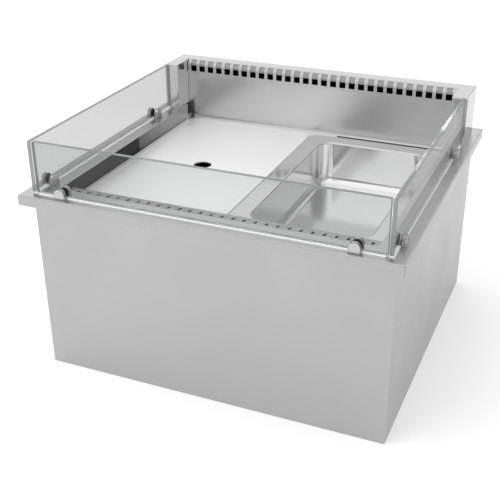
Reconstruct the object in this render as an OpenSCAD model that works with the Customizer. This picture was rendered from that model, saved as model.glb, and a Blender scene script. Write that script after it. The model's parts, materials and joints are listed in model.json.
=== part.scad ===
// Ventilated refrigerated drop-in food well for two full-size food containers.
// Units are millimetres. The front is -Y, +Z is up. The origin is the middle of
// the casing's base, so the counter flange's top lies at z = well_h.

/* [Counter flange] */
// Thickness of the flange sheet
flange_t = 1.5; // [1:0.1:2.5]
// Height of the turned-down rim
rim_h = 22; // [16:1:30]
// Width of the return fold under the rim
rim_fold = 12; // [8:1:13]
// Radius of the bend along the rim's top edge
rim_bend = 3; // [2:0.5:5]
// Height of the flange's top above the base
well_h = 400; // [390:1:460]

/* [Casing and insulation] */
// Reach of the flange beyond the casing at each side
flange_side = 18; // [16:1:24]
// Reach of the flange beyond the casing at the front
flange_front = 28; // [26:1:34]
// Reach of the flange beyond the casing at the back
flange_rear = 15; // [15:1:18]
// Thickness of the casing sheet
case_t = 1.2; // [0.8:0.1:2]
// Width of the casing's inward folds
case_fold = 13; // [8:1:16]
// Height of the bottom panel above the casing's lower edge
base_recess = 22; // [18:0.5:28]
// Fitting gap round the insulation
foam_gap = 0.3; // [0.1:0.1:0.6]
// Radius of a rivet head on the rear panel
rivet_r = 3.2; // [2.4:0.1:4]
// Number of rivets up each edge of the rear panel
rivet_rows = 4; // [3:1:6]

/* [Inner tank] */
// Gap from the containers' liner faces to the tank sides
tank_side = 5; // [4:0.5:8]
// Gap from the casing's side faces to the tank inside
wall_side = 36; // [34:1:44]
// Gap from the casing's front face to the tank inside
wall_front = 16; // [14:1:20]
// Gap from the casing's rear face to the tank inside
wall_rear = 34; // [30:1:36]
// Distance from the tank's front to the start of the return panel's slope
slope_in = 7; // [5:1:12]
// Height of the tank floor above the base
tank_floor = 62; // [50:1:80]
// Thickness of the tank sheet
tank_t = 1.2; // [0.8:0.1:2]
// Corner radius inside the tank
tank_r = 12; // [6:1:20]
// Width of the tank's outward rim under the flange
tank_rim = 10; // [6:1:14]

/* [Container places] */
// Width of one full-size container
gn_w = 325; // [320:1:325]
// Length of one full-size container
gn_d = 530; // [500:1:530]
// Gap between the two containers
gn_gap = 1; // [0.6:0.2:1.4]
// Clearance between a container and the flange opening
gn_clear = 0.5; // [0.4:0.1:1]
// Depth of the containers' tops below the flange
gn_drop = 34.5; // [25:0.5:45]
// Height of the turned-down hem round a container
hem_h = 6; // [4:0.5:8]
// Sheet thickness of a container
gn_t = 1; // [0.8:0.1:1.2]
// Outer corner radius of a container's rim
gn_r = 22; // [10:1:30]
// Width of the supporting ledges and shelves' folds
ledge_w = 14; // [10:1:20]
// Gap between a hem and the ledge that it rests on
rest_gap = 0.1; // [0.05:0.05:0.3]
// Gap from a container's back edge to the rear air panel
rear_gap = 13.2; // [13:0.1:18]
// Gap from a container's front edge to the return panel
front_gap = 4; // [2:0.5:8]

/* [Food pan] */
// Width of the flat rim round the pan's opening
pan_rim = 40; // [34:1:50]
// Depth of the pan
pan_depth = 100; // [60:1:105]
// Corner radius of the pan's opening
pan_r = 30; // [22:1:45]
// Fillet radius round the pan's floor
pan_fillet = 15; // [8:1:20]
// Bend radius round the pan's opening
pan_flare = 4; // [3:0.5:6]

/* [Display plate] */
// Radius of the finger hole
finger_r = 19.5; // [12:0.5:22]
// Sideways offset of the finger hole from the plate's middle
finger_dx = 6; // [0:1:20]
// Offset of the finger hole towards the front
finger_dy = 9; // [0:1:20]
// Width of the plate's raised border
plate_border = 16; // [10:1:26]
// Height of the plate's raised border
plate_step = 0.5; // [0.3:0.1:0.7]

/* [Air combs] */
// Number of slots in each comb
comb_n = 29; // [21:2:29]
// Pitch of the outlet slots
outlet_pitch = 22.44; // [20:0.01:22.5]
// Width of an outlet slot
outlet_w = 14.6; // [8:0.2:17]
// Distance of the outlet slots' lower edge above the flange
outlet_z = 81; // [70:0.5:84]
// Depth that the outlet slots reach back over the bend
outlet_back = 8; // [4:0.5:10]
// Radius of the bend along the outlet comb
outlet_bend = 12; // [6:1:13]
// Pitch of the return slots
return_pitch = 22.2; // [20:0.1:22.2]
// Width of a return slot
return_w = 5; // [3:0.5:8]
// Length of a return slot
return_l = 14; // [8:0.5:18]
// Distance from the slope's start to the return slots
return_in = 11; // [6:0.5:14]
// Sheet thickness of the air panels
panel_t = 1.2; // [0.8:0.1:1.6]
// Radius of the cove at the foot of the rear air panel
cove_r = 20; // [14:1:22]
// Depth of the gutter under the cove, below the container ledges
gutter_drop = 6; // [4:0.5:10]
// Radius of the return panel's nose
nose_r = 8; // [5:1:12]
// Fall of the return panel's slope in degrees
slope_a = 11; // [4:1:16]
// Width of the return panel's slope with its nose
slope_w = 45; // [42:1:50]

/* [Hood] */
// Height of the hood above the flange
hood_h = 108; // [100:1:130]
// Inset of the hood from the flange edge at each side
hood_inset = 20; // [18:1:24]
// Inset of the hood from the flange edge at the back
hood_rear = 31; // [28:1:34]
// Depth of the hood's cheeks
hood_d = 100; // [90:1:120]
// Thickness of the hood sheet
hood_t = 1.2; // [0.8:0.1:2]
// Bend radius along the hood's top edges
hood_bend = 2.5; // [2:0.5:4]
// Width of the hood's foot folds
hood_foot = 20; // [19:1:22]
// Depth of the plenum from the rear air panel to the hood's back
plenum_d = 43.8; // [40:0.1:46]

/* [Glass guards] */
// Thickness of the glass
glass_t = 8; // [5:1:10]
// Distance from the flange edge to the side panes
glass_side = 24; // [22:1:26]
// Distance from the flange edge to the front pane
glass_front_in = 18; // [17:1:22]
// Gap between the panes at the front corners
glass_corner = 2.5; // [1:0.5:4]
// Gap under the panes, filled by the foot strips
glass_lift = 3; // [1.5:0.5:4]
// Radius of the rounded top of a glass clamp
clamp_r = 10; // [6:1:10]
// Width of a glass clamp
clamp_w = 22; // [22:1:36]
// Height of a glass clamp
clamp_h = 21; // [20:1:34]
// Thickness of one clamp jaw
clamp_jaw = 9; // [7:0.5:9]
// Thickness of the rubber pads in the clamps
pad_t = 1; // [0.5:0.5:1.5]
// Distance of the front clamps from the front pane's ends
clamp_in = 56.5; // [50:0.5:90]
// Distance of the side panes' front clamps from the front pane's face
clamp_back = 55; // [50:1:90]
// Distance of the side panes' rear clamps from the hood
clamp_fore = 78; // [40:1:120]

/* [Cooling] */
// Height of the deck between the coil and the containers
deck_z = 240; // [215:1:250]
// Side of a fan frame
fan_side = 119; // [100:1:125]
// Thickness of a fan frame
fan_t = 38; // [30:1:40]
// Radius of a fan's bore
fan_bore = 57; // [45:0.5:58]
// Gap between the blades and the bore
fan_tip_gap = 1.5; // [1:0.1:3]
// Radius of a fan motor's hub
fan_hub = 30; // [22:1:34]
// Radius of the fan shaft
fan_shaft = 3; // [2:0.5:4]
// Running clearance of the rotor on its shaft
shaft_clear = 0.05; // [0.03:0.01:0.1]
// Distance of each fan from the middle
fan_x = 150; // [100:1:200]
// Place of the fan plate behind the middle
fan_plate_y = 110; // [90:1:130]
// Number of blades on a fan
fan_blades = 7; // [5:1:9]
// Length of the finned coil
coil_l = 440; // [300:1:480]
// Depth of the finned coil
coil_d = 88; // [60:1:110]
// Height of the finned coil
coil_h = 132; // [90:1:140]
// Number of fins
fin_n = 23; // [12:1:30]
// Thickness of a fin
fin_t = 0.6; // [0.4:0.1:1]
// Radius of a coil tube
tube_r = 5; // [4:0.5:6]
// Pitch of the coil tubes
tube_pitch = 44; // [40:1:46]
// Clearance of the tubes in the fins
tube_clear = 0.05; // [0.03:0.01:0.1]

/* [Connections] */
// Radius of the suction pipe's free end
suction_r = 5; // [4:0.5:8]
// Radius of the liquid pipe's free end
liquid_r = 3; // [2:0.5:4]
// Outer radius of the drain spout's free end
drain_r = 13; // [10:0.5:17]
// Step from the free ends to the thicker pipes and spout above them
stub_step = 1; // [0.5:0.1:1.5]
// Wall of the drain spout
drain_t = 2; // [1.5:0.5:3]
// Height of the connections' ends above the base
stub_z = 3; // [1:0.5:6]
// Gap between the bottom panel and the top of the free ends
stub_gap = 3; // [2.5:0.5:4]
// Length of the cable gland below the bottom panel
gland_len = 12; // [8:1:14]
// Radius of the cable gland's body
gland_r = 8; // [7:0.5:10]
// Radius of an electric lead
lead_r = 3; // [2:0.5:4]

/* [Hidden] */
$fn = 64;

// Containers and everything beside them, from the middle out
gn_x0 = gn_gap / 2;
gn_x1 = gn_gap / 2 + gn_w;
open_x = gn_x1 + gn_clear;
tank_x = open_x + tank_side;
case_x = tank_x + wall_side;
fx = case_x + flange_side;
// Everything from the front edge to the back edge, with the middle at zero
flange_d = flange_front + wall_front + slope_in + slope_w + front_gap + gn_d + rear_gap
    + plenum_d + hood_rear;
fy = flange_d / 2;
flange_w = 2 * fx;
tank_w = 2 * tank_x;
under_z = well_h - flange_t;
case_front = -fy + flange_front;
case_rear = fy - flange_rear;
tank_y0 = case_front + wall_front;
tank_y1 = case_rear - wall_rear;
wall_y = fy - hood_rear - plenum_d;
gn_y1 = wall_y - rear_gap;
gn_y0 = gn_y1 - gn_d;
gn_top = well_h - gn_drop;
shelf_z = gn_top - hem_h - rest_gap;
gn_mid_x = (gn_x0 + gn_x1) / 2;
gn_mid_y = (gn_y0 + gn_y1) / 2;
// Return panel: slope, nose and web
nose_y = gn_y0 - front_gap;
slope_y = nose_y - slope_w;
web_front = gn_y0 + 15;
web_rear = wall_y - 40;
liner_end = wall_y - cove_r;
gutter_z = shelf_z - gutter_drop;
slope_run = (slope_w - nose_r + nose_r * sin(slope_a)) / cos(slope_a);
nose_z = under_z - slope_run * sin(slope_a) - nose_r * cos(slope_a);
panel_x = open_x - 0.3;
// Hood
hood_x = fx - hood_inset;
hood_y1 = fy - hood_rear;
hood_y0 = hood_y1 - hood_d;
hood_top = well_h + hood_h;
recess_x = tank_x + 0.4;
comb_y = wall_y - panel_t;
// Glass
pane_x = fx - glass_side;
pane_y = -fy + glass_front_in;
pane_z0 = well_h + glass_lift;
front_half = pane_x - glass_t - glass_corner;
clamp_x = front_half - clamp_in;
clamp_y_front = pane_y + clamp_back;
clamp_y_rear = hood_y0 - clamp_fore;
clamp_span = glass_t + 2 * pad_t;
clamp_depth = clamp_span + 2 * clamp_jaw;
clamp_y_mid = pane_y + glass_t / 2;
clamp_x_mid = pane_x - glass_t / 2;
clamp_web = glass_lift - 0.1;
// Fans and coil
fan_z = tank_floor + fan_side / 2 + 22;
fan_y = fan_plate_y + panel_t;
rotor_r = fan_bore - fan_tip_gap;
coil_y = fan_plate_y - 180;
coil_z = tank_floor + 12;
tube_rows = [coil_z + coil_h / 2 - tube_pitch, coil_z + coil_h / 2,
    coil_z + coil_h / 2 + tube_pitch];
tube_cols = [coil_y - tube_pitch / 2, coil_y + tube_pitch / 2];
// Connections through the floor
suction_at = [coil_l / 2 + 40, coil_y + tube_pitch / 2];
liquid_at = [coil_l / 2 + 70, coil_y - tube_pitch / 2];
drain_at = [-tank_x + 101, tank_y0 + 125];
gland_at = [0, fan_plate_y + 20];
box_z = tank_floor + 48;
lead_z = box_z + 26;
bottom_z = base_recess + case_t;
stub_top = bottom_z - stub_gap;
suction_pipe_r = suction_r + stub_step;
liquid_pipe_r = liquid_r + stub_step;
spout_r = drain_r + stub_step;

// Plan outline with round corners, from squares and circles
module round_rect(w, d, r) {
    square([w - 2 * r, d], center = true);
    square([w, d - 2 * r], center = true);
    for (sx = [-1, 1], sy = [-1, 1])
        translate([sx * (w / 2 - r), sy * (d / 2 - r)]) circle(r);
}

// Section of a sheet bent over at both sides, top at zero
module bent_section(w, h, r) {
    translate([-w / 2, -h]) square([w, h - r]);
    translate([-w / 2 + r, -h]) square([w - 2 * r, h]);
    for (s = [-1, 1]) translate([s * (w / 2 - r), -r]) circle(r);
}

// Block whose four top edges are bent round and mitred at the corners
module bent_block(w, d, h, r) {
    intersection() {
        rotate([90, 0, 90]) linear_extrude(w, center = true) bent_section(d, h, r);
        rotate([90, 0, 0]) linear_extrude(d, center = true) bent_section(w, h, r);
    }
}

// Extrusion along X of a section drawn in Y and Z
module along_x(w) {
    rotate([90, 0, 90]) linear_extrude(w, center = true) children();
}

// Box from its lowest and highest corners
module box(a, b) {
    translate(a) cube(b - a);
}

// Row of copies along X, centred
module row(n, pitch) {
    for (i = [0:n - 1]) translate([(i - (n - 1) / 2) * pitch, 0, 0]) children();
}

// Places of the six glass clamps: front pane, then side panes
module at_clamps() {
    for (s = [-1, 1]) {
        translate([s * clamp_x, clamp_y_mid, well_h]) children();
        for (y = [clamp_y_front, clamp_y_rear])
            translate([s * clamp_x_mid, y, well_h]) rotate(s * 90) children();
    }
}

// Places of the clamps' fixing screws, clear of the casing's walls
module at_clamp_screws() {
    reach = clamp_span / 2 + clamp_jaw / 2;
    for (s = [-1, 1]) {
        translate([s * clamp_x, clamp_y_mid - reach, well_h]) children();
        for (y = [clamp_y_front, clamp_y_rear])
            translate([s * (clamp_x_mid - reach), y, well_h]) children();
    }
}

// Places of the hood's fixing screws, in its foot folds
screw_x = (tank_x + tank_rim + case_x - case_t - case_fold) / 2;
hood_screw_at = [[-screw_x, hood_y0 + 14], [screw_x, hood_y0 + 14],
    [-screw_x, hood_y1 - 22], [screw_x, hood_y1 - 22],
    [-120, hood_y1 - hood_t - 3.5], [120, hood_y1 - hood_t - 3.5]];

// Places of the rear panel's rivets
rivet_at = [for (s = [-1, 1], i = [0:rivet_rows - 1])
    [s * (case_x - case_t - case_fold / 2),
     40 + i * (under_z - 80) / (rivet_rows - 1)]];

module casing_wrap() {
    color("gainsboro") difference() {
        box([-case_x, case_front, 0], [case_x, case_rear - case_t, under_z]);
        // main hollow, open at the back
        box([-case_x + case_t, case_front + case_t, bottom_z],
            [case_x - case_t, case_rear - 2 * case_t, under_z - case_t]);
        // mouth inside the top fold, clear of the tank's rim
        box([-case_x + case_t + case_fold, tank_y0 - tank_rim - 0.3, 100],
            [case_x - case_t - case_fold, case_rear, under_z + 1]);
        // back between the folds that carry the rear panel
        box([-case_x + case_t + case_fold, 0, -1],
            [case_x - case_t - case_fold, case_rear, under_z + 1]);
        // skirt below the bottom fold
        box([-case_x + case_t, case_front + case_t, -1],
            [case_x - case_t, case_rear, base_recess]);
        // mouth inside the bottom fold
        box([-case_x + case_t + case_fold, case_front + case_t + case_fold, -1],
            [case_x - case_t - case_fold, case_rear, bottom_z + 1]);
        for (p = rivet_at) translate([p[0], case_rear, p[1]])
            rotate([90, 0, 0]) cylinder(r = rivet_r / 2 + 0.05, h = 20, center = true);
    }
}

module casing_rear_panel() {
    color("gainsboro") difference() {
        box([-case_x, case_rear - case_t, 0], [case_x, case_rear, under_z]);
        for (p = rivet_at) translate([p[0], case_rear, p[1]])
            rotate([90, 0, 0]) cylinder(r = rivet_r / 2 + 0.05, h = 20, center = true);
    }
}

module casing_bottom_panel() {
    color("silver") difference() {
        box([-case_x + case_t + foam_gap, case_front + case_t + foam_gap, bottom_z],
            [case_x - case_t - foam_gap, case_rear - 2 * case_t - foam_gap,
             bottom_z + case_t]);
        translate(drain_at) cylinder(r = spout_r + 0.3, h = 60, center = true);
        translate(suction_at) cylinder(r = suction_pipe_r + 2.3, h = 60, center = true);
        translate(liquid_at) cylinder(r = liquid_pipe_r + 2.3, h = 60, center = true);
        translate(gland_at) cylinder(r = gland_r + 0.05, h = 60, center = true);
    }
}

module casing_rivets() {
    color("silver") for (p = rivet_at) translate([p[0], case_rear, p[1]]) {
        rotate([90, 0, 0]) cylinder(r = rivet_r / 2, h = 2 * case_t + 0.2);
        rotate([-90, 0, 0]) intersection() {
            cylinder(r = rivet_r, h = 1.4);
            translate([0, 0, 1.4 - rivet_r * 1.6]) sphere(rivet_r * 1.6);
        }
    }
}

module insulation_shell() {
    zf = bottom_z + case_t;
    color("khaki") difference() {
        box([-case_x + case_t + foam_gap, case_front + case_t + foam_gap, zf],
            [case_x - case_t - foam_gap, case_rear - 2 * case_t - foam_gap,
             under_z - case_t - foam_gap]);
        translate([0, (tank_y0 + tank_y1) / 2, tank_floor - tank_t - foam_gap])
            linear_extrude(under_z)
            round_rect(tank_w + 2 * (tank_t + foam_gap),
                tank_y1 - tank_y0 + 2 * (tank_t + foam_gap),
                tank_r + tank_t + foam_gap);
        translate(drain_at) cylinder(r = spout_r + 0.3, h = 200, center = true);
        translate(suction_at) cylinder(r = suction_pipe_r + 0.3, h = 200, center = true);
        translate(liquid_at) cylinder(r = liquid_pipe_r + 0.3, h = 200, center = true);
        translate(gland_at) cylinder(r = lead_r + 0.3, h = 200, center = true);
        translate([gland_at[0], gland_at[1], zf]) cylinder(r = gland_r + 4, h = 20, center = true);
        for (p = hood_screw_at) translate([p[0], p[1], under_z - 8]) cylinder(r = 6, h = 20);
        at_clamp_screws() translate([0, 0, -10]) cylinder(r = 6, h = 20);
    }
}

module inner_tank() {
    mid = (tank_y0 + tank_y1) / 2;
    len = tank_y1 - tank_y0;
    color("silver") difference() {
        union() {
            translate([0, mid, tank_floor - tank_t])
                linear_extrude(under_z - tank_floor + tank_t)
                round_rect(tank_w + 2 * tank_t, len + 2 * tank_t, tank_r + tank_t);
            translate([0, mid, under_z - tank_t]) linear_extrude(tank_t)
                round_rect(tank_w + 2 * tank_rim, len + 2 * tank_rim, tank_r + tank_rim);
        }
        translate([0, mid, tank_floor]) linear_extrude(under_z)
            round_rect(tank_w, len, tank_r);
        translate(drain_at) cylinder(r = drain_r - drain_t, h = 200, center = true);
        translate(suction_at) cylinder(r = suction_pipe_r + 0.3, h = 200, center = true);
        translate(liquid_at) cylinder(r = liquid_pipe_r + 0.3, h = 200, center = true);
        translate(gland_at) cylinder(r = lead_r + 0.05, h = 200, center = true);
    }
}

module top_flange() {
    color("lightgray") difference() {
        translate([0, 0, well_h]) bent_block(flange_w, flange_d, rim_h, rim_bend);
        translate([0, 0, under_z]) bent_block(flange_w - 2 * flange_t,
            flange_d - 2 * flange_t, rim_h - 2 * flange_t, rim_bend - flange_t);
        box([-fx + flange_t + rim_fold, -fy + flange_t + rim_fold, well_h - rim_h - 1],
            [fx - flange_t - rim_fold, fy - flange_t - rim_fold, under_z - flange_t]);
        // opening for the containers, and the wider air way under the hood
        box([-open_x, slope_y + 10, under_z - 1], [open_x, liner_end + 0.1, well_h + 1]);
        translate([0, slope_y + 20, under_z - 1]) linear_extrude(5)
            round_rect(2 * open_x, 40, 10);
        box([-tank_x, liner_end, under_z - 1], [tank_x, tank_y1, well_h + 1]);
        for (p = hood_screw_at) translate([p[0], p[1], under_z - 1])
            cylinder(r = 2.05, h = 10);
        at_clamp_screws() translate([0, 0, -10]) cylinder(r = 2.55, h = 20);
    }
}

module hood_shell() {
    mid = (hood_y0 + hood_y1) / 2;
    lip_y = comb_y + outlet_bend + 2;
    color("lightgray") difference() {
        translate([0, mid, hood_top])
            bent_block(2 * hood_x, hood_d, hood_h, hood_bend);
        // bay between the cheeks, and the seat of the outlet comb
        box([-recess_x, hood_y0 - 1, well_h - 1], [recess_x, lip_y, hood_top + 1]);
        // plenum, open to the well below
        box([-hood_x + hood_t, wall_y + 2, well_h + hood_t],
            [hood_x - hood_t, hood_y1 - hood_t, hood_top - hood_t - 14]);
        box([-recess_x, lip_y + hood_t, well_h + hood_t],
            [recess_x, hood_y1 - hood_t, hood_top - hood_t]);
        box([-tank_x, wall_y - 1, well_h - 1],
            [tank_x, hood_y1 - hood_t - hood_foot, well_h + hood_t + 1]);
        // hollow of each cheek, open at the foot inside its fold
        for (s = [-1, 1]) mirror([s < 0 ? 1 : 0, 0, 0]) {
            box([recess_x + hood_t, hood_y0 + hood_t, well_h + hood_t],
                [hood_x - hood_t, hood_y1 - hood_t, hood_top - hood_t]);
            box([recess_x + hood_t, hood_y0 + hood_t, well_h - 1],
                [hood_x - hood_t - hood_foot, hood_y1 - hood_t - hood_foot,
                 well_h + hood_t + 1]);
        }
        for (p = hood_screw_at) translate([p[0], p[1], well_h - 1])
            cylinder(r = 2.05, h = 10);
    }
}

module hood_screws() {
    color("silver") for (p = hood_screw_at) translate([p[0], p[1], 0]) {
        translate([0, 0, under_z - 2.4]) difference() {
            cylinder(r = 3.2, h = 2.4);
            translate([0, 0, -1]) cylinder(r = 1.5, h = 2.4);
        }
        translate([0, 0, under_z - 0.1]) cylinder(r = 2, h = flange_t + hood_t + 4);
        translate([0, 0, well_h + hood_t]) cylinder(r = 3.4, h = 2.6);
    }
}

module air_outlet_comb() {
    bz = hood_top - outlet_bend;
    by = comb_y + outlet_bend;
    z0 = well_h + outlet_z;
    color("whitesmoke") difference() {
        along_x(2 * (recess_x - 0.1)) {
            translate([comb_y, z0 - 7]) square([panel_t, bz - z0 + 7]);
            translate([by, hood_top - panel_t]) square([1.9, panel_t]);
            translate([by, bz]) difference() {
                circle(outlet_bend);
                circle(outlet_bend - panel_t);
                translate([-outlet_bend * 2, -outlet_bend * 4]) square(outlet_bend * 4);
                translate([0, -outlet_bend * 2]) square(outlet_bend * 4);
            }
        }
        // full row with an extra slot at each end, cut short by the cheeks
        row(comb_n + 2, outlet_pitch) translate([-outlet_w / 2, comb_y - 1, z0])
            cube([outlet_w, outlet_back + 1, hood_h]);
    }
}

// Section of the rear air panel: wall, cove, gutter and web
module rear_section() {
    translate([wall_y, gutter_z + cove_r])
        square([panel_t, well_h + outlet_z - 2 - gutter_z - cove_r]);
    translate([liner_end, gutter_z + cove_r]) difference() {
        circle(cove_r + panel_t);
        circle(cove_r);
        translate([-cove_r * 2, 0]) square(cove_r * 4);
        translate([-cove_r * 4, -cove_r * 2]) square(cove_r * 4);
    }
    translate([web_rear, gutter_z - panel_t]) square([liner_end - web_rear, panel_t]);
    translate([web_rear, deck_z]) square([panel_t, gutter_z - deck_z]);
}

module rear_air_panel() {
    color("darkgray") along_x(2 * (tank_x - 0.1)) rear_section();
}

// Region under the return panel's lip, slope and nose, d below its surface
module under_nose(left, low, d) {
    n = [sin(slope_a + 5), cos(slope_a + 5)];
    c = [nose_y - nose_r, nose_z];
    polygon([[left, under_z - d], [slope_y - d * tan(slope_a / 2), under_z - d],
        c + (nose_r - d) * n, c, [nose_y - d, nose_z], [nose_y - d, low], [left, low]]);
    translate(c) circle(nose_r - d);
}

module return_air_panel() {
    color("lightgray") difference() {
        union() {
            difference() {
                along_x(2 * panel_x) under_nose(slope_y - 4, shelf_z - panel_t, 0);
                along_x(flange_w) under_nose(slope_y - 30, 0, panel_t);
            }
            along_x(2 * panel_x) {
                translate([nose_y - panel_t, shelf_z - panel_t])
                    square([web_front - nose_y + panel_t, panel_t]);
                translate([web_front - panel_t, deck_z])
                    square([panel_t, shelf_z - deck_z]);
            }
        }
        row(comb_n, return_pitch)
            translate([-return_w / 2, slope_y + return_in, under_z - 15])
            cube([return_w, return_l, 20]);
    }
}

// Liner with its support ledge, drawn for the right side
module side_liner() {
    y0 = slope_y + 0.1;
    rim_y = tank_y0 + tank_r + 0.3;
    z0 = shelf_z + rest_gap;
    box([open_x, y0, z0], [open_x + panel_t, liner_end, under_z]);
    box([open_x, rim_y, under_z - panel_t], [tank_x, liner_end, under_z]);
    box([open_x, web_rear + panel_t, gutter_z + rest_gap],
        [open_x + panel_t, liner_end, z0 + 1]);
    difference() {
        box([open_x - ledge_w, web_front + 0.1, shelf_z - ledge_w],
            [open_x + panel_t, web_rear - 0.1, shelf_z]);
        box([open_x - ledge_w + panel_t, web_front, shelf_z - ledge_w - 1],
            [open_x + panel_t + 1, web_rear, shelf_z - panel_t]);
    }
    box([open_x, web_front + 0.1, shelf_z - panel_t],
        [open_x + panel_t, web_rear - 0.1, z0 + 1]);
}

module side_liner_left() {
    color("darkgray") mirror([1, 0, 0]) side_liner();
}

module side_liner_right() {
    color("darkgray") side_liner();
}

module corner_seals() {
    color("black") for (s = [-1, 1]) mirror([s < 0 ? 1 : 0, 0, 0])
        box([open_x + 1, liner_end + 0.1, gutter_z + cove_r + 0.3],
            [tank_x, wall_y, under_z]);
}

module center_bar() {
    color("silver") difference() {
        box([-ledge_w, web_front, shelf_z - 20], [ledge_w, web_rear, shelf_z]);
        box([-ledge_w + panel_t, web_front - 1, shelf_z - 21],
            [ledge_w - panel_t, web_rear + 1, shelf_z - panel_t]);
    }
}

module baffle_deck() {
    color("silver") difference() {
        union() {
            box([-tank_x, web_front - panel_t, deck_z - panel_t],
                [tank_x, web_rear + panel_t, deck_z]);
            for (s = [-1, 1]) mirror([s < 0 ? 1 : 0, 0, 0])
                box([tank_x - panel_t, web_front + 20, deck_z - 26],
                    [tank_x, fan_plate_y - 4, deck_z]);
        }
        for (i = [-1.5, -0.5, 0.5, 1.5], j = [-1, 0, 1])
            translate([i * (tank_w - 22) / 4, j * (web_rear - web_front) / 3, deck_z - 5])
            cylinder(r = 5, h = 10);
    }
}

// Lip plate with its turned-down hem, shared by the plate and the pan
module gn_lid(open) {
    difference() {
        translate([0, 0, -hem_h]) linear_extrude(hem_h) round_rect(gn_w, gn_d, gn_r);
        translate([0, 0, -hem_h - 1]) linear_extrude(hem_h + 1 - gn_t)
            round_rect(gn_w - 2 * gn_t, gn_d - 2 * gn_t, gn_r - gn_t);
        if (open) translate([0, 0, -hem_h - 1]) linear_extrude(hem_h + 2)
            round_rect(gn_w - 2 * pan_rim + 2 * pan_flare,
                gn_d - 2 * pan_rim + 2 * pan_flare, pan_r + pan_flare);
    }
}

module display_plate() {
    color("whitesmoke") translate([-gn_mid_x, gn_mid_y, gn_top]) difference() {
        union() {
            gn_lid(false);
            translate([finger_dx, -finger_dy, -4]) cylinder(r = finger_r + gn_t, h = 3.5);
        }
        translate([0, 0, -plate_step]) linear_extrude(5)
            round_rect(gn_w - 2 * plate_border, gn_d - 2 * plate_border, gn_r - 12);
        translate([finger_dx, -finger_dy, -10]) cylinder(r = finger_r, h = 20);
    }
}

// Solid form of the pan's bowl: round corners in plan and a fillet at the floor
module bowl(w, d, h, r, f) {
    translate([0, 0, -h + f]) linear_extrude(h - f) round_rect(w, d, r);
    translate([0, 0, -h]) linear_extrude(f) round_rect(w - 2 * f, d - 2 * f, r - f);
    for (s = [-1, 1]) {
        translate([s * (w / 2 - f), 0, -h + f]) rotate([90, 0, 0])
            cylinder(r = f, h = d - 2 * r, center = true);
        translate([0, s * (d / 2 - f), -h + f]) rotate([0, 90, 0])
            cylinder(r = f, h = w - 2 * r, center = true);
    }
    for (sx = [-1, 1], sy = [-1, 1])
        translate([sx * (w / 2 - r), sy * (d / 2 - r), -h + f])
            rotate_extrude() translate([r - f, 0]) intersection() {
                circle(f);
                translate([0, -f]) square([f, 2 * f]);
            }
}

// Section of the bent edge round the pan's opening
module flare_section() {
    translate([pan_flare, -pan_flare]) difference() {
        circle(pan_flare);
        circle(pan_flare - gn_t);
        translate([0, -pan_flare * 2]) square(pan_flare * 4);
        translate([-pan_flare * 2, -pan_flare * 4]) square(pan_flare * 4);
    }
}

// Bent edge led round the opening: four straight runs and four corners
module flare(w, d, r) {
    for (s = [0, 180]) rotate(s) {
        translate([w / 2, 0, 0]) rotate([90, 0, 0])
            linear_extrude(d - 2 * r, center = true) flare_section();
        translate([0, d / 2, 0]) rotate([90, 0, 90])
            linear_extrude(w - 2 * r, center = true) flare_section();
    }
    reach = r + pan_flare + 1;
    for (sx = [-1, 1], sy = [-1, 1])
        translate([sx * (w / 2 - r), sy * (d / 2 - r), 0]) intersection() {
            rotate_extrude() translate([r, 0]) flare_section();
            translate([sx > 0 ? 0 : -reach, sy > 0 ? 0 : -reach, -pan_flare - 1])
                cube([reach, reach, pan_flare + 2]);
        }
}

module food_pan() {
    w = gn_w - 2 * pan_rim;
    d = gn_d - 2 * pan_rim;
    h = pan_depth - pan_flare;
    color("silver") translate([gn_mid_x, gn_mid_y, gn_top]) {
        gn_lid(true);
        flare(w, d, pan_r);
        translate([0, 0, -pan_flare]) difference() {
            bowl(w + 2 * gn_t, d + 2 * gn_t, h + gn_t, pan_r + gn_t, pan_fillet + gn_t);
            bowl(w, d, h, pan_r, pan_fillet);
            translate([0, 0, -1]) linear_extrude(2) round_rect(w, d, pan_r);
        }
    }
}

module glass_front() {
    color([0.8, 0.9, 0.9, 0.3])
        box([-front_half, pane_y, pane_z0], [front_half, pane_y + glass_t, hood_top]);
}

module glass_side_pane() {
    box([pane_x - glass_t, pane_y, pane_z0], [pane_x, hood_y0 - 0.3, hood_top]);
}

module glass_left() {
    color([0.8, 0.9, 0.9, 0.3]) mirror([1, 0, 0]) glass_side_pane();
}

module glass_right() {
    color([0.8, 0.9, 0.9, 0.3]) glass_side_pane();
}

module glass_strips_front() {
    gap = clamp_w / 2 + 0.3;
    color("white") for (s = [-1, 1]) mirror([s < 0 ? 1 : 0, 0, 0]) {
        box([0, pane_y, well_h], [clamp_x - gap, pane_y + glass_t, pane_z0]);
        box([clamp_x + gap, pane_y, well_h],
            [front_half - 3.5, pane_y + glass_t, pane_z0]);
    }
}

module glass_strips_side() {
    gap = clamp_w / 2 + 0.3;
    ends = [[pane_y + 3.5, clamp_y_front - gap], [clamp_y_front + gap, clamp_y_rear - gap],
        [clamp_y_rear + gap, hood_y0 - 2]];
    color("white") for (s = [-1, 1], e = ends) mirror([s < 0 ? 1 : 0, 0, 0])
        box([pane_x - glass_t, e[0], well_h], [pane_x, e[1], pane_z0]);
}

// Front outline of a clamp or pad, flat below and round above
module clamp_outline(w, h, r) {
    translate([-w / 2, 0]) square([w, h - r]);
    translate([-w / 2 + r, 0]) square([w - 2 * r, h]);
    for (s = [-1, 1]) translate([s * (w / 2 - r), h - r]) circle(r);
}

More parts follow.
